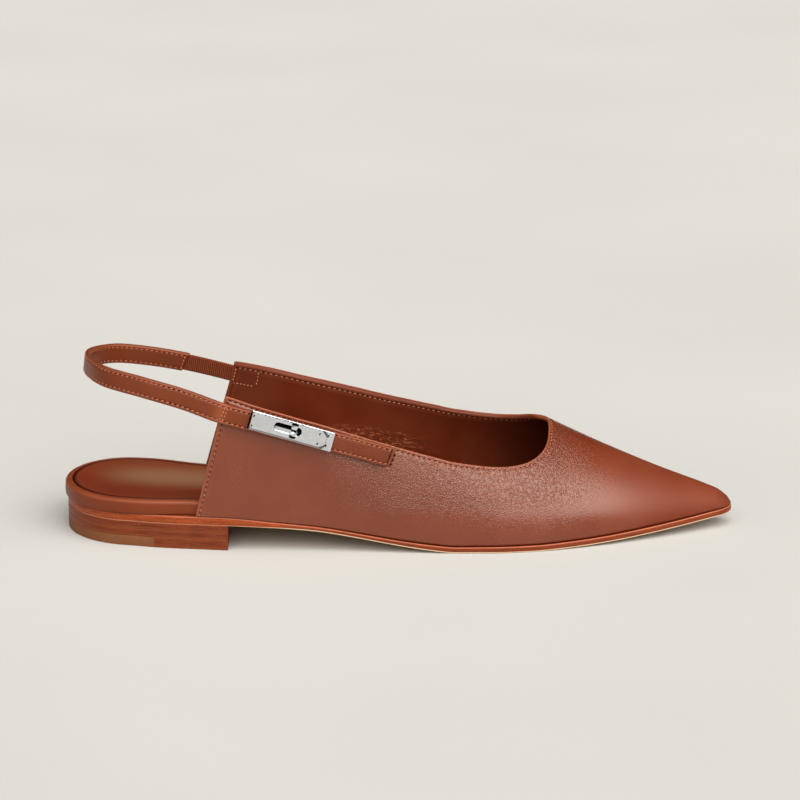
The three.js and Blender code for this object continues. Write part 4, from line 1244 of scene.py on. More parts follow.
@dataclass
class Sling:
    """Middle line of the strap and the elastic, and the frame that their bands follow.

    Attributes:
        lean: How far the bands lean out upwards, in degrees.
    """

    width: float = 8.2
    thickness: float = 2.2
    elastic_width: float = 7.2
    elastic_thickness: float = 0.9
    tuck: float = 5.0
    strap_end: float = 0.18
    lean: float = 7.0
    on_outer: tuple = ((0.486, 0.58), (0.43, 0.61), (0.36, 0.69), (0.3, 0.78), (0.243, 0.85))
    round_heel: tuple = (
        (0.187, -0.431, 0.873),
        (0.124, -0.387, 0.949),
        (0.069, -0.287, 0.989),
        (0.044, -0.133, 1.0),
        (0.035, 0.04, 0.991),
        (0.045, 0.2, 0.967),
        (0.075, 0.315, 0.945),
        (0.124, 0.355, 0.908),
        (0.18, 0.341, 0.865),
    )
    on_inner: tuple = ((0.252, 0.655), (0.29, 0.815))

    def __post_init__(self) -> None:
        """Works out the line once: a centripetal spline through the tables' points."""
        free = np.array(self.round_heel)
        seat = LAST.heel + LAST.sole
        loop = np.stack([free[:, 0] * LAST.length, free[:, 1] * LAST.ball, seat + free[:, 2] * LAST.instep], -1)
        outer = self.on_upper(self.on_outer, Side.OUTER, -LAST.gap - self.thickness / 2)
        inner = self.on_upper(self.on_inner, Side.INNER, LAST.wall / 2)
        self.line = spline(np.concatenate([outer, loop, inner]))
        self.run = run_along(self.line)
        self.length = self.run[-1]
        marks = resample(self.line, self.run, np.linspace(0, self.length, 401))
        back = marks[:, 0].argmin()
        self.stop = (back + 1 + int((marks[back + 1 :, 0] > self.strap_end * LAST.length).argmax())) / 400 * self.length
        self.elastic_start = self.stop - self.tuck
        self.marks = marks

    def on_upper(self, rows: tuple, side: Side, skin: float) -> np.ndarray:
        """Points this deep under the upper's surface, a number of strap widths below the topline."""
        table = np.array(rows)
        x = table[:, 0] * LAST.length
        line = np.array(TOPLINE[side])
        arc = hermite(line[:, 0], line[:, 1], table[:, 0])
        height = LAST.point(x, side, arc)[:, 2] - table[:, 1] * self.width
        arc = LAST.arc_at(x, side, height)
        return LAST.point(x, side, arc) - LAST.normal(x, side, arc) * skin

    def frame(self, at: np.ndarray) -> tuple[np.ndarray, np.ndarray, np.ndarray, np.ndarray]:
        """Point, direction, way out and way up at lengths along the line.

        Args:
            at: Lengths from the strap's front end.

        Returns:
            Four arrays of vectors.
        """
        point = resample(self.line, self.run, at)
        step = 0.2
        ahead = resample(self.line, self.run, np.minimum(at + step, self.length))
        along = unit(ahead - resample(self.line, self.run, np.maximum(at - step, 0)))
        level = unit(np.stack([along[:, 1], -along[:, 0], 0 * along[:, 0]], -1))
        middle = np.array([LAST.heel_rounding, float(LAST.centre(np.array(LAST.heel_rounding))), 0.0])
        way = ((point - middle) * level * [1, 1, 0]).sum(-1, keepdims=True)
        level = level * np.where(way < 0, -1, 1)
        up = np.cross(along, level)
        up = up * np.where(up[:, 2:] < 0, -1, 1)
        lean = np.radians(self.lean)
        out = unit(level * np.cos(lean) + up * np.sin(lean))
        rise = np.cross(along, out)
        return point, along, out, rise * np.where(rise[:, 2:] < 0, -1, 1)

    def band(self, at: np.ndarray, across: np.ndarray, out: np.ndarray) -> np.ndarray:
        """Carries profiles along the line.

        Args:
            at: Lengths, one for each profile.
            across: Distances up the band, for each profile's points.
            out: Distances off its middle, likewise.

        Returns:
            Grid of points, a row for each profile.
        """
        point, _, way_out, way_up = self.frame(at)
        return point[:, None] + across[..., None] * way_up[:, None] + out[..., None] * way_out[:, None]


def spline(knots: np.ndarray, density: int = 160) -> np.ndarray:
    """Centripetal spline through points: each piece is a cubic whose slopes come from the differences
    beside its ends, divided by the square roots of their lengths.

    Args:
        knots: Points to pass through.
        density: Points on each piece.

    Returns:
        Points of the curve.
    """
    ends = np.concatenate([2 * knots[:1] - knots[1:2], knots, 2 * knots[-1:] - knots[-2:-1]])
    p0, p1, p2, p3 = ends[:-3], ends[1:-2], ends[2:-1], ends[3:]
    d0, d1, d2 = (np.linalg.norm(q - p, axis=1, keepdims=True) ** 0.5 for p, q in ((p0, p1), (p1, p2), (p2, p3)))
    m1 = ((p1 - p0) / d0 - (p2 - p0) / (d0 + d1) + (p2 - p1) / d1) * d1
    m2 = ((p2 - p1) / d1 - (p3 - p1) / (d1 + d2) + (p3 - p2) / d2) * d1
    t = np.linspace(0, 1, density, endpoint=False)[None, :, None]
    p1, p2, m1, m2 = (v[:, None] for v in (p1, p2, m1, m2))
    curve = p1 + m1 * t + (-3 * p1 + 3 * p2 - 2 * m1 - m2) * t**2 + (2 * p1 - 2 * p2 + m1 + m2) * t**3
    return np.concatenate([curve.reshape(-1, 3), knots[-1:]])


@dataclass
class Straps:
    """The sling strap with its folded edges and sewing, and the elastic behind it.

    Attributes:
        finishes: Materials of the shoe.
        sling: Line that both follow.
        seam: Sewing along the strap's edges.
        inset: Seam's distance from the strap's edge.
        round_edge: Radius of the folded edge.
        groove: Depth of the seam's groove.
    """

    finishes: Finishes
    sling: Sling
    seam: Stitch = Stitch(pitch=2.05, length=1.2, thickness=0.44, slant=12.0, dash=0.5, hole=0.26)
    inset: float = 1.3
    round_edge: float = 0.95
    groove: float = 0.2
    front_slant: float = 0.12
    back_slant: float = 0.28

    def profile(self) -> tuple[np.ndarray, np.ndarray]:
        """Outer half of the strap's section: distances up the band and its half thickness there, which
        falls round the edge as a quarter ellipse."""
        w, r = self.sling.width / 2, self.round_edge
        bend = w - r + r * np.sin(np.linspace(0, np.pi / 2, 9))
        flat = np.array([0, 0.4, 0.8, 1.2, 1.6, 1.9, 2.15, 2.35, 2.5, 2.65, 2.8, 2.95, 3.1])
        half = np.concatenate([flat[flat < w - r - 0.03], bend])
        across = np.concatenate([-half[:0:-1], half])
        over = np.clip((np.abs(across) - (w - r)) / r, 0, 1)
        return across, self.sling.thickness / 2 * np.sqrt(1 - over**2)

    def build_strap(self) -> None:
        """Builds the strap: the profile carried along the sling with a groove along each seam, a faint crown between
        them and eased ends, lighter by each edge as a painted highlight and in a rubbed patch past its crossing."""
        sling = self.sling
        across, half = self.profile()
        at = np.concatenate([[0, 0.04, 0.14, 0.3, 0.5], np.arange(0.9, sling.stop - 0.6, 0.5), sling.stop - np.array([0.5, 0.3, 0.14, 0.04, 0])])
        ease = np.minimum(at, sling.stop - at)[:, None]
        shrink = np.sqrt(np.clip(1 - (1 - np.clip(ease / 0.5, 0, 1)) ** 2, 0, 1))
        to_seam = np.abs(np.abs(across) - (sling.width / 2 - self.inset))[None]
        pull = np.exp(-((to_seam / 0.34) ** 2)) * (1 + 0.4 * np.cos(2 * np.pi * at[:, None] / self.seam.pitch))
        crown = 0.06 * np.clip(1 - (across / (sling.width / 2 - self.inset)) ** 2, 0, 1)
        front = (half + crown - 0.06) * (0.35 + 0.65 * shrink) - self.groove * pull * (half > 0.5)
        rear = -(half * (0.35 + 0.65 * shrink)) + 0.7 * self.groove * pull * (half > 0.5)
        narrow = 1 - 0.35 / sling.width * (1 - shrink)
        up = np.concatenate([across * narrow, (across * narrow)[:, -2:0:-1]], 1)
        out = np.concatenate([front, rear[:, -2:0:-1]], 1)
        surface = sling.band(at, up, out)
        _, along, _, _ = sling.frame(at)
        low = (sling.width / 2 - up)[..., None] * along[:, None]
        surface = surface + low * self.front_slant * (1 - smooth(at, 0, 6))[:, None, None]
        surface = surface - low * self.back_slant * smooth(at, sling.stop - 6, sling.stop)[:, None, None]
        away = np.concatenate([to_seam + 0 * at[:, None], (to_seam + 0 * at[:, None])[:, -2:0:-1]], 1)
        # Lighter by each edge: a painted highlight. The bell curve past the crossing is a rubbed pale patch.
        edge_highlight_and_scuff = np.clip(1 - np.abs(np.abs(up) - (sling.width / 2 - 0.6)) / 0.5, 0, 1) * 0.3
        edge_highlight_and_scuff = edge_highlight_and_scuff + 0.35 * np.exp(-(((at - self.crossing() - 2.6) / 2.2) ** 2))[:, None] * (out > 0)
        shell = Shell()
        shell.grid(surface, wrap=True, seam=np.stack([at[:, None] + 0 * away, away], -1), tone=edge_highlight_and_scuff)
        shell.cap(surface[0])
        shell.cap(surface[-1])
        strap = shell.piece("sling_strap_leather", [self.finishes.strap], 60)
        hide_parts("sling_strap")
        self.sew_strap()

    def sew_strap(self) -> None:
        """Sews both edges on both faces, and a cross row where the strap passes over the upper's edge."""
        sling = self.sling
        threads = Shell()
        at = np.arange(0.0, sling.stop, 0.5)
        point, _, out, rise = sling.frame(at)
        for edge in (-1, 1):
            for face in (-1, 1):
                lift = face * (sling.thickness / 2 - 0.1)
                line = point + rise * edge * (sling.width / 2 - self.inset) + out * lift
                self.seam.sew(threads, line, out * face)
        small = Stitch(pitch=1.5, length=1.1, thickness=0.42, slant=28.0, proud=0.08)
        up = np.linspace(-1, 1, 20) * (sling.width / 2 - 1.1)
        for shift, slant, lift in ((self.crossing(), 1.0, 1), (self.crossing() + 1.1, 1.0, 1), (sling.stop - 1.3, -1.6, -1)):
            line_at = shift + slant * (0.5 - up / sling.width)
            point, _, out, rise = sling.frame(line_at)
            small.sew(threads, point + rise * up[:, None] + out * lift * (sling.thickness / 2 - 0.06), out * lift)
        threads.piece("strap_stitches", [self.finishes.thread])

    def crossing(self) -> float:
        """Length along the sling at which it passes over the upper's back edge."""
        front = self.sling.marks[: len(self.sling.marks) // 2, 0]
        return float((front < 66.4).argmax()) / 400 * self.sling.length

    def build_welt(self) -> None:
        """Builds the welt in front of the strap's end: a low arch on the upper, lighter along its crest as a
        painted highlight, sewn down along its front with a scalloped row of threads coloured dark as painted shade."""
        point, along, _, rise = (v[0] for v in self.sling.frame(np.array([0.0])))
        up = np.linspace(-3.9, 3.3, 41)
        away = np.linspace(0, 1, 13)
        slanted = self.front_slant * (self.sling.width / 2 - up)
        scallop = 0.16 * np.abs(np.sin(np.pi * (up + 3.9) / 2.0))

        def on_upper(forward: np.ndarray, height: np.ndarray) -> tuple[np.ndarray, np.ndarray]:
            """Points over the upper's skin, and its normals there."""
            free = point + rise * up[:, None, None] - along * (forward - slanted[:, None])[..., None]
            x, z = free[..., 0], free[..., 2]
            arc = LAST.arc_at(x, Side.OUTER, z)
            normal = LAST.normal(x, Side.OUTER, arc)
            return LAST.point(x, Side.OUTER, arc) + normal * height[..., None], normal

        forward = lerp(0.3, 1.75 + scallop[:, None], away)
        arch = 0.5 * np.sin(np.pi * away) ** 0.6 * np.sqrt(1 - np.linspace(-1, 1, 41)[:, None] ** 8)
        over, _ = on_upper(forward, arch + 0.02)
        under, _ = on_upper(forward[:, -2:0:-1], np.full((41, 11), -0.25))
        shell, threads = Shell(), Shell()
        surface = np.concatenate([over, under], 1)
        # The arch is lighter along its crest: a painted highlight.
        shell.grid(surface, wrap=True, tone=np.concatenate([0.3 * np.sin(np.pi * away) ** 2, np.zeros(11)]) + 0 * surface[..., 0])
        shell.cap(surface[0])
        shell.cap(surface[-1])
        shell.piece("strap_welt", [self.finishes.strap], 60)
        dark = Stitch(pitch=2.0, length=1.4, thickness=0.85, slant=-14.0, proud=0.1)
        line, normal = on_upper(forward[:, -1:] - 0.05, np.full((41, 1), 0.12))
        dark.sew(threads, line[:, 0], normal[:, 0])
        threads.piece("welt_stitches", [self.finishes.shade_dark_thread])

    def build_elastic(self) -> None:
        """Builds the elastic: a thin band with ribs across it, each a low wave along its length."""
        sling = self.sling
        at = np.arange(sling.elastic_start, sling.length - 0.2, 0.13)
        w, t = sling.elastic_width / 2, sling.elastic_thickness / 2
        across = np.concatenate([np.linspace(-w, w, 15), np.linspace(w, -w, 15)[1:-1]])
        way = np.concatenate([np.ones(15), -np.ones(13)])
        edge = np.sqrt(np.clip(1 - np.clip((np.abs(across) - (w - t)) / t, 0, 1) ** 2, 0.02, 1))
        rib = 0.05 * np.sin(2 * np.pi * at[:, None] / 0.8)
        out = way * edge * (t - 0.05 + rib)
        surface = sling.band(at, np.broadcast_to(across, out.shape), out)
        place = np.stack([at[:, None] + 0 * out, across + 0 * out], -1)
        shell = Shell()
        shell.grid(surface, wrap=True, seam=place)
        shell.cap(surface[0])
        shell.cap(surface[-1])
        band = shell.piece("elastic_band", [self.finishes.elastic])
        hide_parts("elastic")

    def build(self) -> None:
        """Builds the strap, the welt in front of it and the elastic."""
        self.build_strap()
        self.build_welt()
        self.build_elastic()


@dataclass(frozen=True)
class Ring:
    """One line round a slab: how far beyond the outline it runs, and how high.

    Attributes:
        margin: Distance outwards at each place.
        height: Height at each place.
        tone: Lightness of the finish there.
    """

    margin: np.ndarray | float
    height: np.ndarray
    tone: float = 0.0


@dataclass
class Base:
    """Everything under the foot: sole, heel, footbed and sock.

    Attributes:
        finishes: Materials of the shoe.
    """

    finishes: Finishes
    ledge: float = 0.9
    bevel: float = 0.7
    top_piece: float = 4.1
    rubber_place: float = 37.0
    footbed_heel: float = 5.5
    footbed_fore: float = 2.4
    footbed_round: float = 1.5
    footbed_end: float = 7.0
    seat_overhang: float = 0.7
    sock_margin: float = 3.0
    sock_depth: float = 1.2
    sock_dish: float = 1.1
    sock_short: float = 12.0
    seat_gap: float = 0.05

    def ledge_at(self, x: np.ndarray) -> np.ndarray:
        """Sole's edge beyond the last's outline."""
        return self.ledge * LAYERS.at("ledge", x / LAST.length)

    def slab(self, x: np.ndarray, rings: list[Ring], over: np.ndarray | None = None, under: np.ndarray | None = None) -> tuple[np.ndarray, np.ndarray]:
        """Rings over the sole's outline, from the lower face to the upper, with both faces filled
        across. A face is hollowed by its depth times four part times one less part across its width.

        Args:
            x: Places along the shoe.
            rings: Lines round the slab.
            over: Depth of the upper face's hollow.
            under: Depth of the lower face's hollow.

        Returns:
            Grid of points, a row for each place, and their tones.
        """
        ends = (x == x[0]) | (x == x[-1])
        cut = ends & (x > 0) & (x < LAST.length)

        def lines(side: Side) -> np.ndarray:
            """Points of every ring on one side, ring by ring."""
            made = []
            for ring in rings:
                margin = np.broadcast_to(ring.margin, x.shape)
                plan = LAST.edge(x, side, margin)
                if cut.any():
                    plan[cut] = LAST.edge_across(x[cut], side, margin[cut])
                made.append(np.concatenate([plan, np.broadcast_to(ring.height, x.shape)[:, None]], 1))
            return np.stack(made, 1)

        outer, inner = lines(Side.OUTER), lines(Side.INNER)
        part = (1 - np.cos(np.linspace(0, np.pi, 26)[1:-1])) / 2

        def crossing(start: np.ndarray, stop: np.ndarray, depth: np.ndarray | None) -> np.ndarray:
            """Points across a face."""
            made = lerp(start[:, None], stop[:, None], part[None, :, None])
            if depth is not None:
                made[..., 2] -= depth[:, None] * 4 * part * (1 - part)
            return made

        top = crossing(outer[:, -1], inner[:, -1], over)
        bottom = crossing(inner[:, 0], outer[:, 0], under)
        tones = np.array([ring.tone for ring in rings])
        tone = np.concatenate([tones, np.full(len(part), tones[-1]), tones[::-1], np.full(len(part), tones[0])])
        return np.concatenate([outer, top, inner[:, ::-1], bottom], 1), np.broadcast_to(tone, (len(x), len(tone)))

    def rounded(self, x: np.ndarray, margin: np.ndarray, low: np.ndarray, high: np.ndarray, radius: float, tone: float = 0.0) -> list[Ring]:
        """Rings of a straight wall whose two edges are rounded as quarter circles."""
        turn = np.linspace(0, np.pi / 2, 4)
        lower = [Ring(margin - radius * (1 - np.sin(t)), low + radius * (1 - np.cos(t)), tone if t == 0 else tone / 2) for t in turn]
        upper = [Ring(margin - radius * (1 - np.cos(t)), high - radius * (1 - np.sin(t)), tone if t else 0.0) for t in turn]
        middle = Ring(margin, (low + high) / 2)
        return [*lower, middle, *upper]

    def closed(self, name: str, x: np.ndarray, surface: np.ndarray, tone: np.ndarray, finishes: list, node: str, faces: np.ndarray | None = None) -> bpy.types.Object:
        """Makes a slab's piece, its ends closed.

        Args:
            name: Name of the piece.
            x: Places along the shoe.
            surface: Grid of points.
            tone: Tones of the points.
            finishes: Materials.
            node: Node that it stands for.
            faces: Number of the finish for each column of the grid, or none.

        Returns:
            The piece.
        """
        shell = Shell()
        shell.grid(surface, wrap=True, tone=tone)
        if faces is not None:
            shell.finish = np.tile(faces, len(x) - 1).tolist()
        if x[0] > 0:
            shell.cap(surface[0])
        if x[-1] < LAST.length:
            shell.cap(surface[-1])
        made = shell.piece(name, finishes, 50)
        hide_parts(node)
        return made

    def build_outsole(self) -> None:
        """Outsole: its bevel rounded into the edge, its underside in bare leather."""
        x = LAST.stations(0, LAST.length, 1.4)
        edge, low, high = self.ledge_at(x), LAST.underside(x), LAST.sole_top(x)
        fore = smooth(x, LAST.breast + 4, LAST.breast + 34)
        rings = [
            Ring(edge - self.bevel * lerp(0.3, 1, fore), low, 0.8),
            Ring(edge - 0.34 * lerp(0.5, 1, fore), low + 0.12, 0.8),
            Ring(edge - 0.08 * fore, low + 0.2 + 0.42 * fore, 0.8),
            Ring(edge - 0.05 * fore, low + 0.24 + 0.46 * fore, 0.0),
            Ring(edge, low + self.bevel + 0.25),
            Ring(edge + 0.02, (low + high) / 2),
            Ring(edge, high - 0.45),
            # The top of the edge is lighter: a painted highlight.
            Ring(edge - 0.1, high - 0.14, 0.4),
            Ring(edge - 0.3, high - 0.02, 0.4),
            Ring(edge - 0.5, high, -0.4),
        ]
        surface, tone = self.slab(x, rings)
        dyed = -0.62 * smooth(x, LAST.breast + 10, LAST.breast + 60) * (1 - 0.25 * smooth(x, 190, 250))
        # The last term makes the painted highlight along the top of the edge stronger towards the toe.
        tone = tone + dyed[:, None] * (tone < 0.1) + 0.15 * smooth(x, 110, 200)[:, None] * (np.abs(tone - 0.4) < 0.05)
        faces = np.zeros(surface.shape[1], np.int32)
        faces[[0, 1]] = 1
        faces[-27:] = 1
        self.closed("outsole_leather", x, surface, tone, [self.finishes.sole, self.finishes.bottom], "outsole", faces)

    def build_heel(self) -> None:
        """Heel: two leather layers over a top piece of rubber at the back and leather in front."""
        lift = (LAST.heel - self.top_piece) / 2
        gap = self.seat_gap
        layers = (
            ("heel_layer_1", 0.0, LAST.breast, LAST.heel - lift, LAST.heel - gap, self.finishes.stack, "heel_lift_1", "stacked_leather"),
            ("heel_layer_2", 0.0, LAST.breast, self.top_piece, LAST.heel - lift - gap, self.finishes.stack, "heel_lift_2", "stacked_leather"),
            ("top_rubber", 0.0, self.rubber_place - gap, 0.0, self.top_piece - gap, self.finishes.rubber, "top_piece_rubber", "top_piece_rubber"),
            ("top_leather", self.rubber_place, LAST.breast, 0.0, self.top_piece - gap, self.finishes.stack, "top_piece_leather", "stacked_leather"),
        )
        for name, start, stop, low, high, finish, node, slot in layers:
            x = LAST.stations(start, stop, 1.4)
            rings = self.rounded(x, self.ledge_at(x), low + 0 * x, high + 0 * x, 0.16, 0.6)
            surface, tone = self.slab(x, rings)
            self.closed(name, x, surface, tone, [finish], node)

    def margin(self, x: np.ndarray) -> np.ndarray:
        """Footbed's edge beyond the last's outline, drawn in where it passes inside the upper."""
        return lerp(self.seat_overhang, -LAST.wall - LAST.gap, smooth(x / LAST.length, 0.1, 0.195))

    def bed_top(self, x: np.ndarray) -> np.ndarray:
        """Height of the footbed's upper face."""
        thick = self.footbed_fore + (self.footbed_heel - self.footbed_fore) * LAYERS.at("footbed", x / LAST.length)
        return LAST.sole_top(x) + LAST.gap + thick

    def dish(self, x: np.ndarray) -> np.ndarray:
        """Depth of the hollow under the heel."""
        reach = LAST.length - self.footbed_end
        return self.sock_dish * LAST.closing(x, reach) * (1 - smooth(x / LAST.length, 0.2, 0.5))

    def build_footbed(self) -> None:
        """Footbed: leather drawn round a thick edge, tucked in at the sole, with the sock's recess."""
        reach = LAST.length - self.footbed_end
        sock_reach = reach - self.sock_short
        x = LAST.stations(0, reach, 1.4)
        edge, low, top = self.margin(x), LAST.sole_top(x), self.bed_top(x)
        fade = np.clip((sock_reach + 2 * self.sock_margin - x) / self.sock_margin, 0, 1)
        # Darker where the cover tucks in under its overhang: painted shade.
        tuck = [Ring(edge - 0.6 * (1 - math.sin(t)), low + 0.04 + 0.75 * (1 - math.cos(t)), -0.3 if t < 0.8 else 0.0) for t in np.linspace(0, np.pi / 2, 5)]
        turn = np.linspace(0, np.pi / 2, 8)
        r = self.footbed_round
        # Lighter round the top edge: a painted highlight.
        over = [Ring(edge - r * (1 - np.cos(t)), top - r * (1 - np.sin(t)), 0.25 * math.sin(2 * t)) for t in turn]
        rings = [
            *tuck,
            Ring(edge + 0.12, lerp(low, top, 0.4)),
            *over,
            # Lighter along the inner top edge: a painted highlight.
            Ring(edge - self.sock_margin + 0.55, top, 0.25),
            # Darker down into the gap by the sock: painted shade.
            Ring(edge - self.sock_margin + 0.25, top, -0.5),
            Ring(edge - self.sock_margin + 0.05, top - 0.12, -0.8),
            Ring(edge - self.sock_margin, top - 0.3 * fade, -0.8),
            Ring(edge - self.sock_margin, top - self.sock_depth * fade, -1.0),
        ]
        surface, tone = self.slab(x, rings, over=self.dish(x))
        self.closed("footbed_cover", x, surface, tone, [self.finishes.cover], "footbed")

    def build_sock(self) -> None:
        """Sock: smooth leather with a soft edge, dished under the heel, with a painted reflection on its far half and
        painted shade at its edge and along its outer side.
        """
        sock_reach = LAST.length - self.footbed_end - self.sock_short
        x = LAST.stations(0, sock_reach, 1.4)
        edge, top = self.margin(x) - self.sock_margin - LAST.gap, self.bed_top(x)
        low = top - self.sock_depth + LAST.gap
        turn = np.linspace(0, np.pi / 2, 5)
        rings = [
            # The edge is dark down into the gap round the sock: painted shade.
            Ring(edge, low, -1.0),
            *[Ring(edge - 0.35 * (1 - np.cos(t)), top - 0.35 * (1 - np.sin(t)), -0.95) for t in turn],
            Ring(edge - 0.8, top, -0.8),
            Ring(edge - 1.5, top, 0.1),
            Ring(edge - 2.2, top),
        ]
        surface, tone = self.slab(x, rings, over=self.dish(x), under=self.dish(x))
        # A khaki patch on the far half is a painted reflection, and the darker band on the outer side is painted shade.
        across = (surface[..., 1] - 15.0 + 0.2 * surface[..., 0]) / 12.0
        along = (surface[..., 0] - 52.0) / 36.0
        khaki_reflection = np.exp(-((across**2 + along**4) ** 1.2))
        shaded = np.exp(-(((surface[..., 1] + 15.0) / 7.0) ** 2)) * smooth(surface[..., 0], 40, 66)
        top = surface[..., 2] > lerp(low, top, 0.6)[:, None] - self.dish(x)[:, None]
        self.closed("sock_lining", x, surface, tone + (0.62 * khaki_reflection - 0.3 * shaded) * top, [self.finishes.sock], "sock")

    def build(self) -> None:
        """Builds the sole, the heel, the footbed and the sock."""
        self.build_outsole()
        self.build_heel()
        self.build_footbed()
        self.build_sock()


@dataclass
class TurnLock:
    """Turn lock on the strap: two plates, a knob through their slot and six rivets.

    Attributes:
        finishes: Materials of the shoe.
        sling: Line of the strap that carries it.
    """

    finishes: Finishes
    sling: Sling
    place: float = 91.5
    length: float = 33.6
    height: float = 7.6
    lift: float = 0.5
    turn: float = 2.3
    plate: float = 0.9
    short: float = 2.6
    inset: float = 0.25
    clip: float = 2.0
    slot_length: float = 10.9
    slot_height: float = 3.2
    slot_raise: float = 0.45
    slot_place: float = 10.0
    knob_length: float = 6.2
    knob_width: float = 2.6
    knob_height: float = 1.6
    post: float = 0.9
    knob_from_end: float = 2.9
    rivet: float = 0.45
    rivet_height: float = 0.3
    rivet_spread: float = 4.0
    rivet_inset: float = 1.7
    rivet_beyond: float = 0.5
    seat_gap: float = 0.05
    dark_end: float = 0.6
    slant_mark: float = 2.7

    def __post_init__(self) -> None:
        """Works out the lock's own frame: seat, way forward, way up and way out."""
        sling = self.sling
        at = int((sling.marks[:, 0] < self.place).argmax()) / 400 * sling.length
        point, along, out, rise = (v[0] for v in sling.frame(np.array([at])))
        forward, upward = -along, rise
        normal = unit(np.cross(forward, upward))
        near = at + np.array([-1, -0.5, 0, 0.5, 1]) * self.length / 2
        spots, _, outs, _ = sling.frame(near)
        face = ((spots + outs * sling.thickness / 2 - point) @ normal).max()
        self.seat = point + normal * (face + LAST.gap) + upward * self.lift
        a = np.radians(self.turn)
        self.forward = forward * np.cos(a) - upward * np.sin(a)
        self.upward = upward * np.cos(a) + forward * np.sin(a)
        self.normal = normal

    def world(self, local: np.ndarray) -> np.ndarray:
        """Points from the lock's frame: along, up and off the plates."""
        return self.seat + local @ np.stack([self.forward, self.upward, self.normal])

    def outline(self, length: float, height: float, clip: float, inset: float) -> np.ndarray:
        """Outline of a plate with clipped front corners, moved inwards by an inset, in even steps."""
        back, front, h = -self.length / 2 + inset, length - self.length / 2 - inset, height / 2 - inset
        c = max(0.12, clip - inset * (2 - math.sqrt(2)))
        b = 0.12
        corners = np.array([(back + b, -h), (front - c, -h), (front, -h + c), (front, h - c), (front - c, h), (back + b, h), (back, h - b), (back, -h + b)])
        counts = (60, 8, 10, 8, 60, 2, 14, 2)
        following = np.roll(corners, -1, 0)
        return np.concatenate([lerp(p, q, np.linspace(0, 1, n, endpoint=False)[:, None]) for p, q, n in zip(corners, following, counts)])

    def slot(self, around: np.ndarray, grow: float) -> np.ndarray:
        """Slot's outline, each point on the ray from its middle to a point of the plate's outline. On a
        ray it is where the straight side is met, or else the round end."""
        middle = np.array([-self.length / 2 + self.slot_place + self.slot_length / 2, self.slot_raise])
        ray = unit(around - middle)
        r = self.slot_height / 2 + grow
        a = self.slot_length / 2 - self.slot_height / 2
        side = r / np.maximum(np.abs(ray[:, 1]), 1e-9)
        end = a * np.abs(ray[:, 0]) + np.sqrt(np.maximum(0, r**2 - (a * ray[:, 1]) ** 2))
        reach = np.where(side * np.abs(ray[:, 0]) <= a, side, end)
        return middle + ray * reach[:, None]

    def build_plates(self) -> None:
        """Plates: walls with a polished bevel, and round the slot a bevel that widens outwards."""
        bevel = 0.28
        base = Shell()
        rows = [(0.06, 0.0), (0.0, 0.06), (0.0, self.plate - 0.2), (0.06, self.plate - 0.06), (0.2, self.plate)]
        walls = np.stack([np.concatenate([o, np.full((len(o), 1), z)], 1) for o, z in ((self.outline(self.length, self.height, 0, i), z) for i, z in rows)])
        # The walls at the back end are near black: painted shade of the gap against the strap.
        base.grid(self.world(walls), wrap=True, tone=-smooth(-walls[..., 0], self.length / 2 - 0.7, self.length / 2 - 0.3))
        base.cap(self.world(walls[0]))
        self.base_face(base, walls[-1])
        self.dress(base, "lock_back_plate", "lock_base_plate", 25)
        front = Shell()
        low, high = self.plate + self.seat_gap, 2 * self.plate + self.seat_gap
        size = (self.length - self.short, self.height - 2 * self.inset, self.clip)
        around = self.outline(*size, 0)
        around[:, 0] = np.maximum(around[:, 0], -self.length / 2 + self.dark_end)
        # The walls of the clipped corners are near black: painted shadow.
        clipped = np.zeros(len(around))
        clipped[60:69] = -1.0
        clipped[78:87] = -1.0
        inner = [(0.0, low), (0.0, high - 0.12), (0.12, high)]
        outer = [(bevel + m, high) for m in (0.42, 0.24, 0.1, 0.0)]
        outer += [(0.05, high - 0.9 * bevel), (0.0, high - bevel - 0.1), (0.0, low)]
        lines = [self.slot(around, g) for g, _ in inner] + [self.outline(*size, i) for i, _ in outer]
        for line, (margin, _) in zip(lines[3:], outer):
            line[:, 0] = np.maximum(line[:, 0], -self.length / 2 + self.dark_end + margin)
        heights = [z for _, z in inner + outer]
        walls = np.stack([np.concatenate([o, np.full((len(o), 1), z)], 1) for o, z in zip(lines, heights)])
        walls = np.concatenate([walls, walls[:1]])
        shade = np.array([-1.0, -1.0, 0.0, 0.0, 0.0, 0.0, 0.0, 1.0, 1.0, 1.0, -1.0])[:, None]
        upper = walls[:, :, 1] > self.slot_raise - 0.25
        slot_shade = np.where(upper, -1.0, -0.15)
        # A dark line along the lower bevel: a painted dark reflection.
        line = np.array([0, 0, 0, 0, -0.75, -0.75, 0, 0, 0, 0, 0])[:, None] * (walls[:, :, 1] < -2.5)
        tone = np.where(shade < 0, slot_shade, 0) + np.where(shade > 0, clipped, 0) + line
        front.grid(self.world(walls), wrap=True, tone=tone)
        self.dress(front, "lock_slotted_plate", "lock_front_plate", 25)

    def base_face(self, shell: Shell, ring: np.ndarray) -> None:
        """Face of the back plate, in strips towards its middle line. It is dark in the upper part of the
        slot and along the front plate's clipped corners and back end, as the polished metal there
        mirrors the shadow between the plates.

        Args:
            shell: Where the face goes.
            ring: Outline of the face.
        """
        share = np.linspace(1, 0, 26)[:, None, None]
        middle = np.stack([np.clip(ring[:, 0], -self.length / 2 + 2.4, self.length / 2 - 2.4), 0 * ring[:, 1], ring[:, 2]], -1)
        face = lerp(middle, ring, share)
        x, y = face[..., 0], face[..., 1]
        start = -self.length / 2 + self.slot_place
        in_slot = smooth(x, start - 0.5, start) * (1 - smooth(x, start + self.slot_length, start + self.slot_length + 0.5))
        dark = in_slot * smooth(y, self.slot_raise - 0.35, self.slot_raise + 0.1)
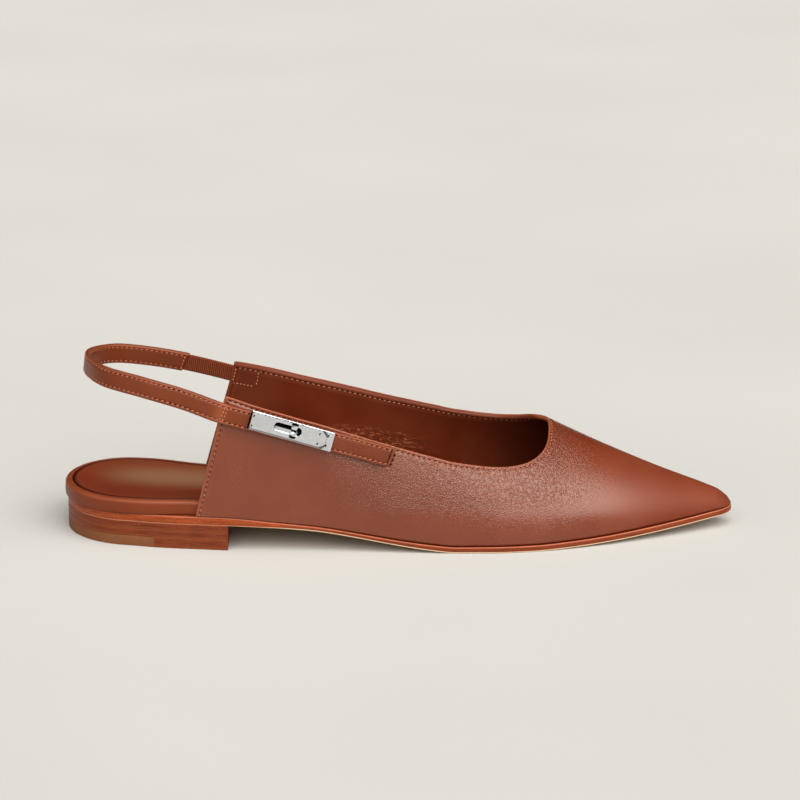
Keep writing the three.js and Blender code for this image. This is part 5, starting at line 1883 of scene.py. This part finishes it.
        # The slot's far end is dark too, as is its near end below: painted shade.
        dark = np.maximum(dark, smooth(x, start + self.slot_length - 2.2, start + self.slot_length - 1.6) * in_slot)
        end = self.length / 2 - self.short
        corner = smooth(x + np.abs(y), end + self.height / 2 - self.clip - 0.6, end + self.height / 2 - self.clip) * (
            1 - smooth(x + np.abs(y), end + self.height / 2 - self.clip + 0.3, end + self.height / 2 - self.clip + 0.75)
        )
        corner = corner * (x < end + 0.1) * (np.abs(y) > self.height / 2 - self.clip - 0.5)
        dark = np.maximum(dark, in_slot * (1 - smooth(x, start + 0.2, start + 0.7)))
        dark = np.maximum(dark, smooth(-x, self.length / 2 - self.dark_end - 0.3, self.length / 2 - self.dark_end))
        # A strip under the front plate's lower edge is dark: painted shade.
        low = 0.55 * smooth(-y, self.height / 2 - self.inset - 0.2, self.height / 2 - self.inset - 0.05) * (x < end)
        shell.grid(self.world(face), wrap=True, tone=-np.maximum(np.maximum(dark, corner), low))

    def dress(self, shell: Shell, name: str, node: str, crease: float = 40.0) -> None:
        """Makes a metal piece that stands for a node."""
        made = shell.piece(name, [self.finishes.metal], crease)
        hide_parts(node)

    def build_knob(self) -> None:
        """Knob: a bar of two soft lobes over its post. Its girth is a waist plus the rest times the
        squared sine of a half turn in v, closed at the ends by the root of one less v to a high power."""
        spot = -self.length / 2 + self.slot_place + self.slot_length - self.knob_from_end - 0.25
        low = 2 * self.plate + 2 * self.seat_gap + LAST.gap
        v = np.sin(np.linspace(-np.pi / 2, np.pi / 2, 65))[:, None]
        lobes = 0.74 + 0.26 * np.sin(np.pi * np.minimum(np.abs(v), 0.5)) ** 2
        girth = lobes * np.sqrt(np.maximum(0, 1 - np.abs(0.99 * v) ** 24))
        shade = -np.maximum(1 - smooth(np.abs(v), 0.1, 0.2), smooth(np.abs(v), 0.62, 0.7) * (1 - smooth(np.abs(v), 0.97, 0.99)))
        angle = np.linspace(0, 2 * np.pi, 40, endpoint=False)[None]
        x = spot + self.knob_width / 2 * girth * np.cos(angle)
        y = self.slot_raise + 0.25 + v * self.knob_length / 2 + 0 * angle
        z = low + self.knob_height / 2 * (1 + girth * np.sin(angle))
        shell = Shell()
        bar = np.stack([x, y, z], -1)
        shell.grid(self.world(bar), wrap=True, tone=shade + 0 * angle)
        shell.cap(self.world(bar[0]))
        shell.cap(self.world(bar[-1]))
        height = np.array([self.plate + self.seat_gap, low + self.knob_height / 2])[:, None]
        circle = np.stack([spot + self.post * np.cos(angle) + 0 * height, self.slot_raise + self.post * np.sin(angle) + 0 * height, height + 0 * angle], -1)
        shell.grid(self.world(circle), wrap=True)
        shell.cap(self.world(circle[0]))
        shell.cap(self.world(circle[-1]))
        self.dress(shell, "lock_turn_knob", "lock_knob")

    def build_rivets(self) -> None:
        """Rivets: low domes with a fine step round them, dark on the side away from the light."""
        front = self.length / 2 - self.short
        pairs = ((-self.length / 2 + self.rivet_inset, 2), (front - self.clip - 2 * self.rivet, 2), (front + self.rivet_beyond, 1))
        angle = np.linspace(0, 2 * np.pi, 24, endpoint=False)[None]
        share = np.array([1.2, 1.18, 1.1, 1.0, 0.85, 0.6, 0.35, 0.02])[:, None]
        rise = np.array([0.0, 0.35, 0.6, 0.78, 0.9, 0.97, 1.0, 1.0])[:, None] * self.rivet_height
        number = 0
        for place, plates in pairs:
            for up in (-1, 1):
                number += 1
                x = place + self.rivet * share * np.cos(angle)
                y = up * self.rivet_spread / 2 + self.rivet * share * np.sin(angle)
                z = plates * (self.plate + self.seat_gap) + rise + 0 * angle
                dome = self.world(np.stack([x, y, z], -1))
                shell = Shell()
                facing_away = smooth(np.cos(angle - self.slant_mark), -0.45, 0.1)
                shell.grid(dome, wrap=True, tone=-facing_away * (share > 0.3))
                shell.cap(dome[0])
                shell.cap(dome[-1])
                self.dress(shell, f"lock_pin_{number}", f"lock_rivet_{number}")

    def build(self) -> None:
        """Builds the plates, the knob and the rivets."""
        self.build_plates()
        self.build_knob()
        self.build_rivets()


@dataclass(frozen=True)
class Studio:
    """Pale floor, soft light and the camera.

    Attributes:
        floor: Colour of the floor.
        target: Point that the camera looks at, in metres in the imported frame.
        distance: Camera's distance from it, in metres.
        elevation: Camera's height over the level, in degrees.
        lens: Focal length for a sensor 36 mm wide.
        front: Brightness of the surroundings behind the camera.
        behind: Brightness of the surroundings behind the shoe.
        window: Brightness of the window of light.
        bearing: Bearing of its middle, in degrees from the toe's direction towards the inner side.
    """

    floor: tuple[float, float, float, float] = colour(172, 170, 166)
    target: tuple[float, float, float] = (0.1035, 0.0, 0.0521)
    distance: float = 1.4
    elevation: float = 15.5
    lens: float = 158.6
    front: float = 0.3
    behind: float = 0.04
    window: float = 4.4
    bearing: float = -61.0

    def build_camera(self) -> None:
        """Camera at the photograph's angle."""
        data = bpy.data.cameras.new("camera")
        data.lens, data.sensor_width = self.lens, 36.0
        data.clip_end = 50.0
        made = bpy.data.objects.new("camera", data)
        angle = math.radians(self.elevation)
        x, y, z = self.target
        made.location = (x, y - self.distance * math.cos(angle), z + self.distance * math.sin(angle))
        made.rotation_euler = (math.pi / 2 - angle, 0.0, 0.0)
        bpy.context.scene.collection.objects.link(made)
        bpy.context.scene.camera = made

    def build_floor(self) -> None:
        """Plain pale floor."""
        mesh = bpy.data.meshes.new("floor")
        mesh.from_pydata([(-6, -6, 0), (6, -6, 0), (6, 6, 0), (-6, 6, 0)], [], [(0, 1, 2, 3)])
        tree = Tree("floor_paper")
        drift = tree.noise(tree.place(), 0.004, 2.0)
        body = tree.mix(tree.step(drift, 0.3, 0.7), self.floor, colour(175, 173, 169))
        mesh.materials.append(tree.surface(body, 0.9, None, Specular_IOR_Level=0.1))
        made = bpy.data.objects.new("floor", mesh)
        bpy.context.scene.collection.objects.link(made)

    def sun(self, name: str, bearing: float, height: float, spread: float, strength: float, tint: tuple[float, float, float]) -> None:
        """Soft, far light, as even on the floor as a large box far off.

        Args:
            name: Name of the light.
            bearing: Where it stands, in degrees from the toe's direction towards the inner side.
            height: Its height over the level, in degrees.
            spread: Width that it is seen under, in degrees.
            strength: Light that it brings, in watts on a square metre.
            tint: Colour.
        """
        data = bpy.data.lights.new(name, "SUN")
        data.angle, data.energy, data.color = math.radians(spread), strength, tint
        made = bpy.data.objects.new(name, data)
        made.rotation_euler = (math.radians(90 - height), 0.0, math.radians(bearing + 90))
        bpy.context.scene.collection.objects.link(made)

    def build_light(self) -> None:
        """Surroundings with a wide window of light in front: the window is the product of a soft band of
        heights and a soft range of bearings. A far light almost overhead and one low towards the heel shape the edges."""
        world = bpy.data.worlds.new("studio")
        world.use_nodes = True
        tree = Tree("studio", world)
        way = tree.node("ShaderNodeTexCoord").outputs["Generated"]
        split = tree.node("ShaderNodeSeparateXYZ")
        tree.put(split.inputs[0], way)
        level = tree.node("ShaderNodeVectorMath", operation="MULTIPLY")
        tree.put(level.inputs[0], way)
        level.inputs[1].default_value = (1.0, 1.0, 0.0)
        flat = tree.node("ShaderNodeVectorMath", operation="NORMALIZE")
        tree.put(flat.inputs[0], level.outputs[0])
        turn = tree.node("ShaderNodeVectorMath", operation="DOT_PRODUCT")
        tree.put(turn.inputs[0], flat.outputs[0])
        bearing = math.radians(self.bearing)
        turn.inputs[1].default_value = (math.cos(bearing), math.sin(bearing), 0.0)
        band = tree.math("MULTIPLY", tree.step(split.outputs[2], 0.15, 0.4), tree.step(split.outputs[2], 0.9, 1.0, (1.0, 0.0)))
        window = tree.math("MULTIPLY", band, tree.step(turn.outputs["Value"], 0.34, 0.66))
        around = tree.step(split.outputs[1], -0.8, 0.6, (self.front, self.behind))
        back = tree.node("ShaderNodeBackground")
        tree.put(back.inputs[0], (1.0, 0.985, 0.955, 1.0))
        tree.put(back.inputs[1], tree.math("MULTIPLY_ADD", window, self.window, around))
        tree.links.new(back.outputs[0], tree.node("ShaderNodeOutputWorld").inputs[0])
        bpy.context.scene.world = world
        self.sun("key", -95, 84, 40, 1.15, (1.0, 0.985, 0.955))
        self.sun("heel_side", -155, 35, 50, 0.6, (1.0, 0.99, 0.97))

    def build(self) -> None:
        """Sets up the stage, shown without a film curve."""
        bpy.context.scene.view_settings.view_transform = "Standard"
        self.build_camera()
        self.build_floor()
        self.build_light()


def main() -> None:
    """Builds the studio and the shoe, piece by piece."""
    logging.basicConfig(level=logging.INFO, format="%(name)s: %(message)s")
    Studio().build()
    finishes = Finishes()
    sling = Sling()
    Upper(finishes).build()
    Straps(finishes, sling).build()
    Base(finishes).build()
    TurnLock(finishes, sling).build()


if __name__ == "__main__":
    main()
